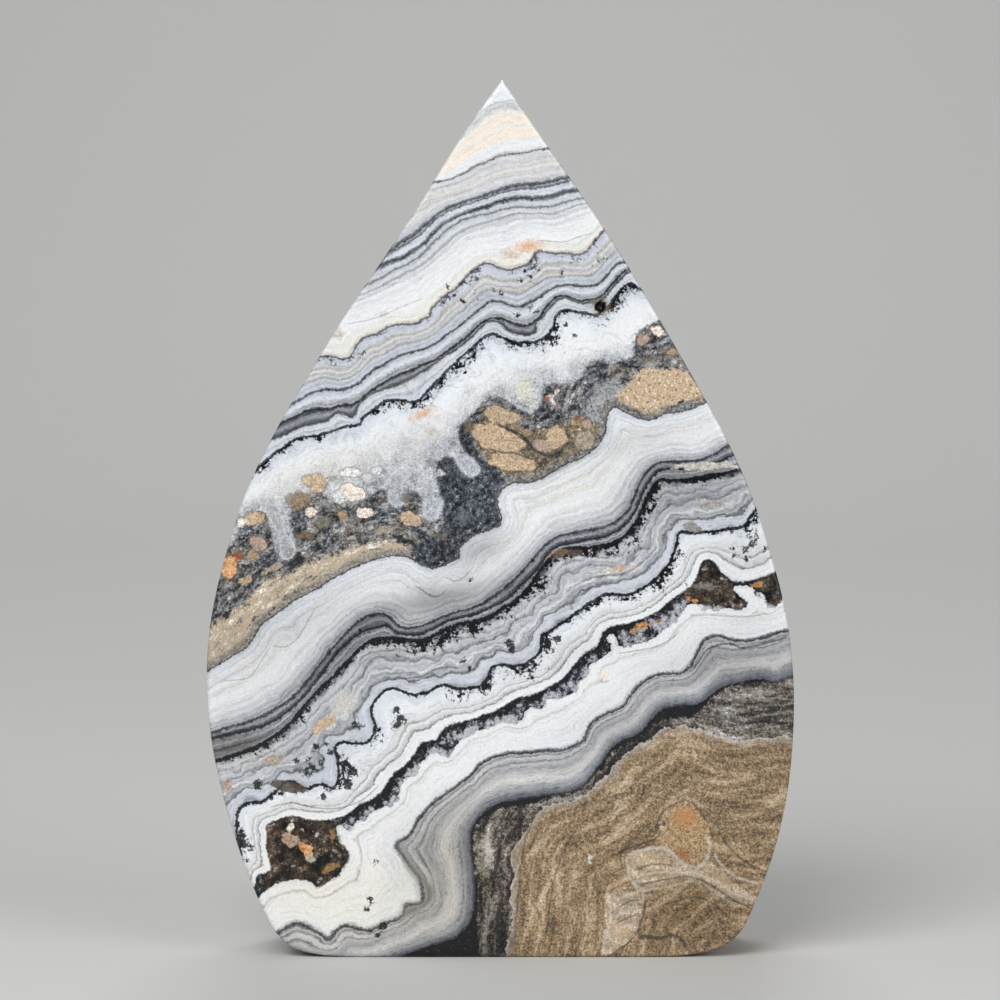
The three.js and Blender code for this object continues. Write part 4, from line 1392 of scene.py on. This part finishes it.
pale = edge(1.0 - abs(measure("pale_strokes") + grit * 2.4), 1.0) * measure("pale_strokes_strength")
agate = blend_colours(agate, linear("beige"), pale * gravel * 1.3)
dark = edge(1.0 - abs(measure("dark_strokes") + grit * 3.0), 1.0) * measure("dark_strokes_strength")
agate = blend_colours(agate, linear("coal"), dark * (0.5 + gravel * 0.8).clamped())
agate = shaded(agate, (1.0 + (sand_grain - 0.5) * 0.3) * (1.0 - measure("shade")))
warmed = Wire.node("ShaderNodeVectorMath", {"operation": "MULTIPLY"}, {0: agate, 1: WARM_TINT})
agate = blend_colours(agate, warmed, measure("warmth").clamped())
# Painted shade: each vug is painted soot black by its depth
agate = blend_colours(agate, linear("soot"), (measure("vug") * 5.0 - 0.4).clamped())
print(f"{len(Wire.tree.nodes)} nodes with the stains, pebbles and strokes")

# %% [markdown]
# ## Polish
# Agate is hard and even, so its bands take a bright polish, and the granular parts stay duller. One value
# could do for the whole stone, but then the sand would shine like glass, so the roughness follows the
# same masks as the colours.

# %% Finish the surface
BAND_ROUGHNESS = 0.16
GRAIN_ROUGHNESS = 0.2
QUARTZ_IOR = 1.54
SHINE = 0.3

grainy = in_rubble.at_least(host).at_least(strip).at_least(crumb * 0.6).at_least(druse * 0.6)
roughness = BAND_ROUGHNESS + grainy * GRAIN_ROUGHNESS + (sand_grain - 0.5) * 0.08
sockets = {"Base Color": agate, "Roughness": roughness, "IOR": QUARTZ_IOR, "Specular IOR Level": SHINE}
surface = Wire.node("ShaderNodeBsdfPrincipled", None, sockets)
Wire.node("ShaderNodeOutputMaterial", None, {"Surface": surface})
slab_mesh.materials.append(polish)
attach(slab, "root")
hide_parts("agate_slab")
print(f"{len(Wire.tree.nodes)} nodes in the material")

# %% [markdown]
# ## Studio
# The stone stands on a plain pale floor that sweeps up behind it. The sweep could be a flat plane and a
# wall, but a bend between them leaves no dark line behind the stone. Its side line is drawn first, the
# corner is rounded, and the line is pulled out to its width. A large soft light hangs on the front left,
# a second one fills in from the right, and a third lights the top from behind.

# %% Lay the floor
SWEEP_HALF_WIDTH = 1.6
SWEEP_FRONT = -0.3
SWEEP_BACK = 0.9
SWEEP_HEIGHT = 1.4
SWEEP_RADIUS = 0.35
SWEEP_SEGMENTS = 16
PAPER_ROUGHNESS = 0.8

sweep = bmesh.new()
side_line = [(SWEEP_FRONT, 0), (SWEEP_BACK, 0), (SWEEP_BACK, SWEEP_HEIGHT)]
front_end, bend_point, top_end = [sweep.verts.new((-SWEEP_HALF_WIDTH, y, z)) for y, z in side_line]
sweep.edges.new((front_end, bend_point))
sweep.edges.new((bend_point, top_end))
bmesh.ops.bevel(sweep, geom=[bend_point], offset=SWEEP_RADIUS, offset_type="OFFSET",
                segments=SWEEP_SEGMENTS, profile=0.5, affect="VERTICES", material=-1)
wide = bmesh.ops.extrude_edge_only(sweep, edges=list(sweep.edges))
moved = [part for part in wide["geom"] if isinstance(part, bmesh.types.BMVert)]
bmesh.ops.translate(sweep, verts=moved, vec=(2 * SWEEP_HALF_WIDTH, 0, 0))
bmesh.ops.recalc_face_normals(sweep, faces=sweep.faces)
sweep_mesh = bpy.data.meshes.new("sweep")
sweep.to_mesh(sweep_mesh)
sweep.free()
sweep_mesh.shade_smooth()
floor = bpy.data.objects.new("sweep", sweep_mesh)
bpy.context.scene.collection.objects.link(floor)
paper = bpy.data.materials.new("pale_paper")
paper.use_nodes = True
paper_shader = paper.node_tree.nodes["Principled BSDF"]
paper_shader.inputs["Base Color"].default_value = linear("paper")
paper_shader.inputs["Roughness"].default_value = PAPER_ROUGHNESS
sweep_mesh.materials.append(paper)
print(f"floor of {len(sweep_mesh.polygons)} faces")

# %% Hang the lights
MIDDLE = (0.0, 0.0, slab_height / 2)
WORLD_STRENGTH = 0.12


def soft_light(name, place, aim, size, watts):
    """A square soft box that looks at a point."""
    lamp = bpy.data.lights.new(name, "AREA")
    lamp.shape = "SQUARE"
    lamp.size = size
    lamp.energy = watts
    box = bpy.data.objects.new(name, lamp)
    box.location = place
    box.rotation_euler = (Vector(aim) - Vector(place)).to_track_quat("-Z", "Y").to_euler()
    bpy.context.scene.collection.objects.link(box)
    print(f"{name}: {watts} W, {size} m wide")


soft_light("key_light", (-0.25, -0.5, 0.5), MIDDLE, size=0.5, watts=4.15)
soft_light("fill_light", (0.7, -0.6, 0.35), MIDDLE, size=0.6, watts=4.0)
soft_light("back_light", (0.0, 0.7, 0.8), MIDDLE, size=0.5, watts=3.0)
world = bpy.data.worlds.new("studio")
world.use_nodes = True
background = world.node_tree.nodes["Background"]
background.inputs["Color"].default_value = (1.0, 1.0, 1.0, 1.0)
background.inputs["Strength"].default_value = WORLD_STRENGTH
bpy.context.scene.world = world
bpy.context.scene.view_settings.view_transform = "Standard"

# %% [markdown]
# ## Camera
# The camera stands in front of the stone, a little above its middle, and looks slightly down at it. A long
# lens keeps the outline true, as it does in a product photograph.

# %% Set up the camera
CAMERA_BACK = 0.400
CAMERA_HEIGHT = 0.070
VIEW_HEIGHT = 0.04563
LENS_MM = 143.46
SENSOR_MM = 36.0
NEAREST_SEEN = 0.01

camera_data = bpy.data.cameras.new("camera")
camera_data.lens = LENS_MM
camera_data.sensor_width = SENSOR_MM
camera_data.clip_start = NEAREST_SEEN
camera = bpy.data.objects.new("camera", camera_data)
camera.location = (0.0, -CAMERA_BACK, CAMERA_HEIGHT)
look = Vector((0.0, slab_low.y, VIEW_HEIGHT)) - camera.location
camera.rotation_euler = look.to_track_quat("-Z", "Y").to_euler()
bpy.context.scene.collection.objects.link(camera)
bpy.context.scene.camera = camera
print(f"camera {-camera.location.y:.2f} m in front, {camera.location.z:.3f} m up")
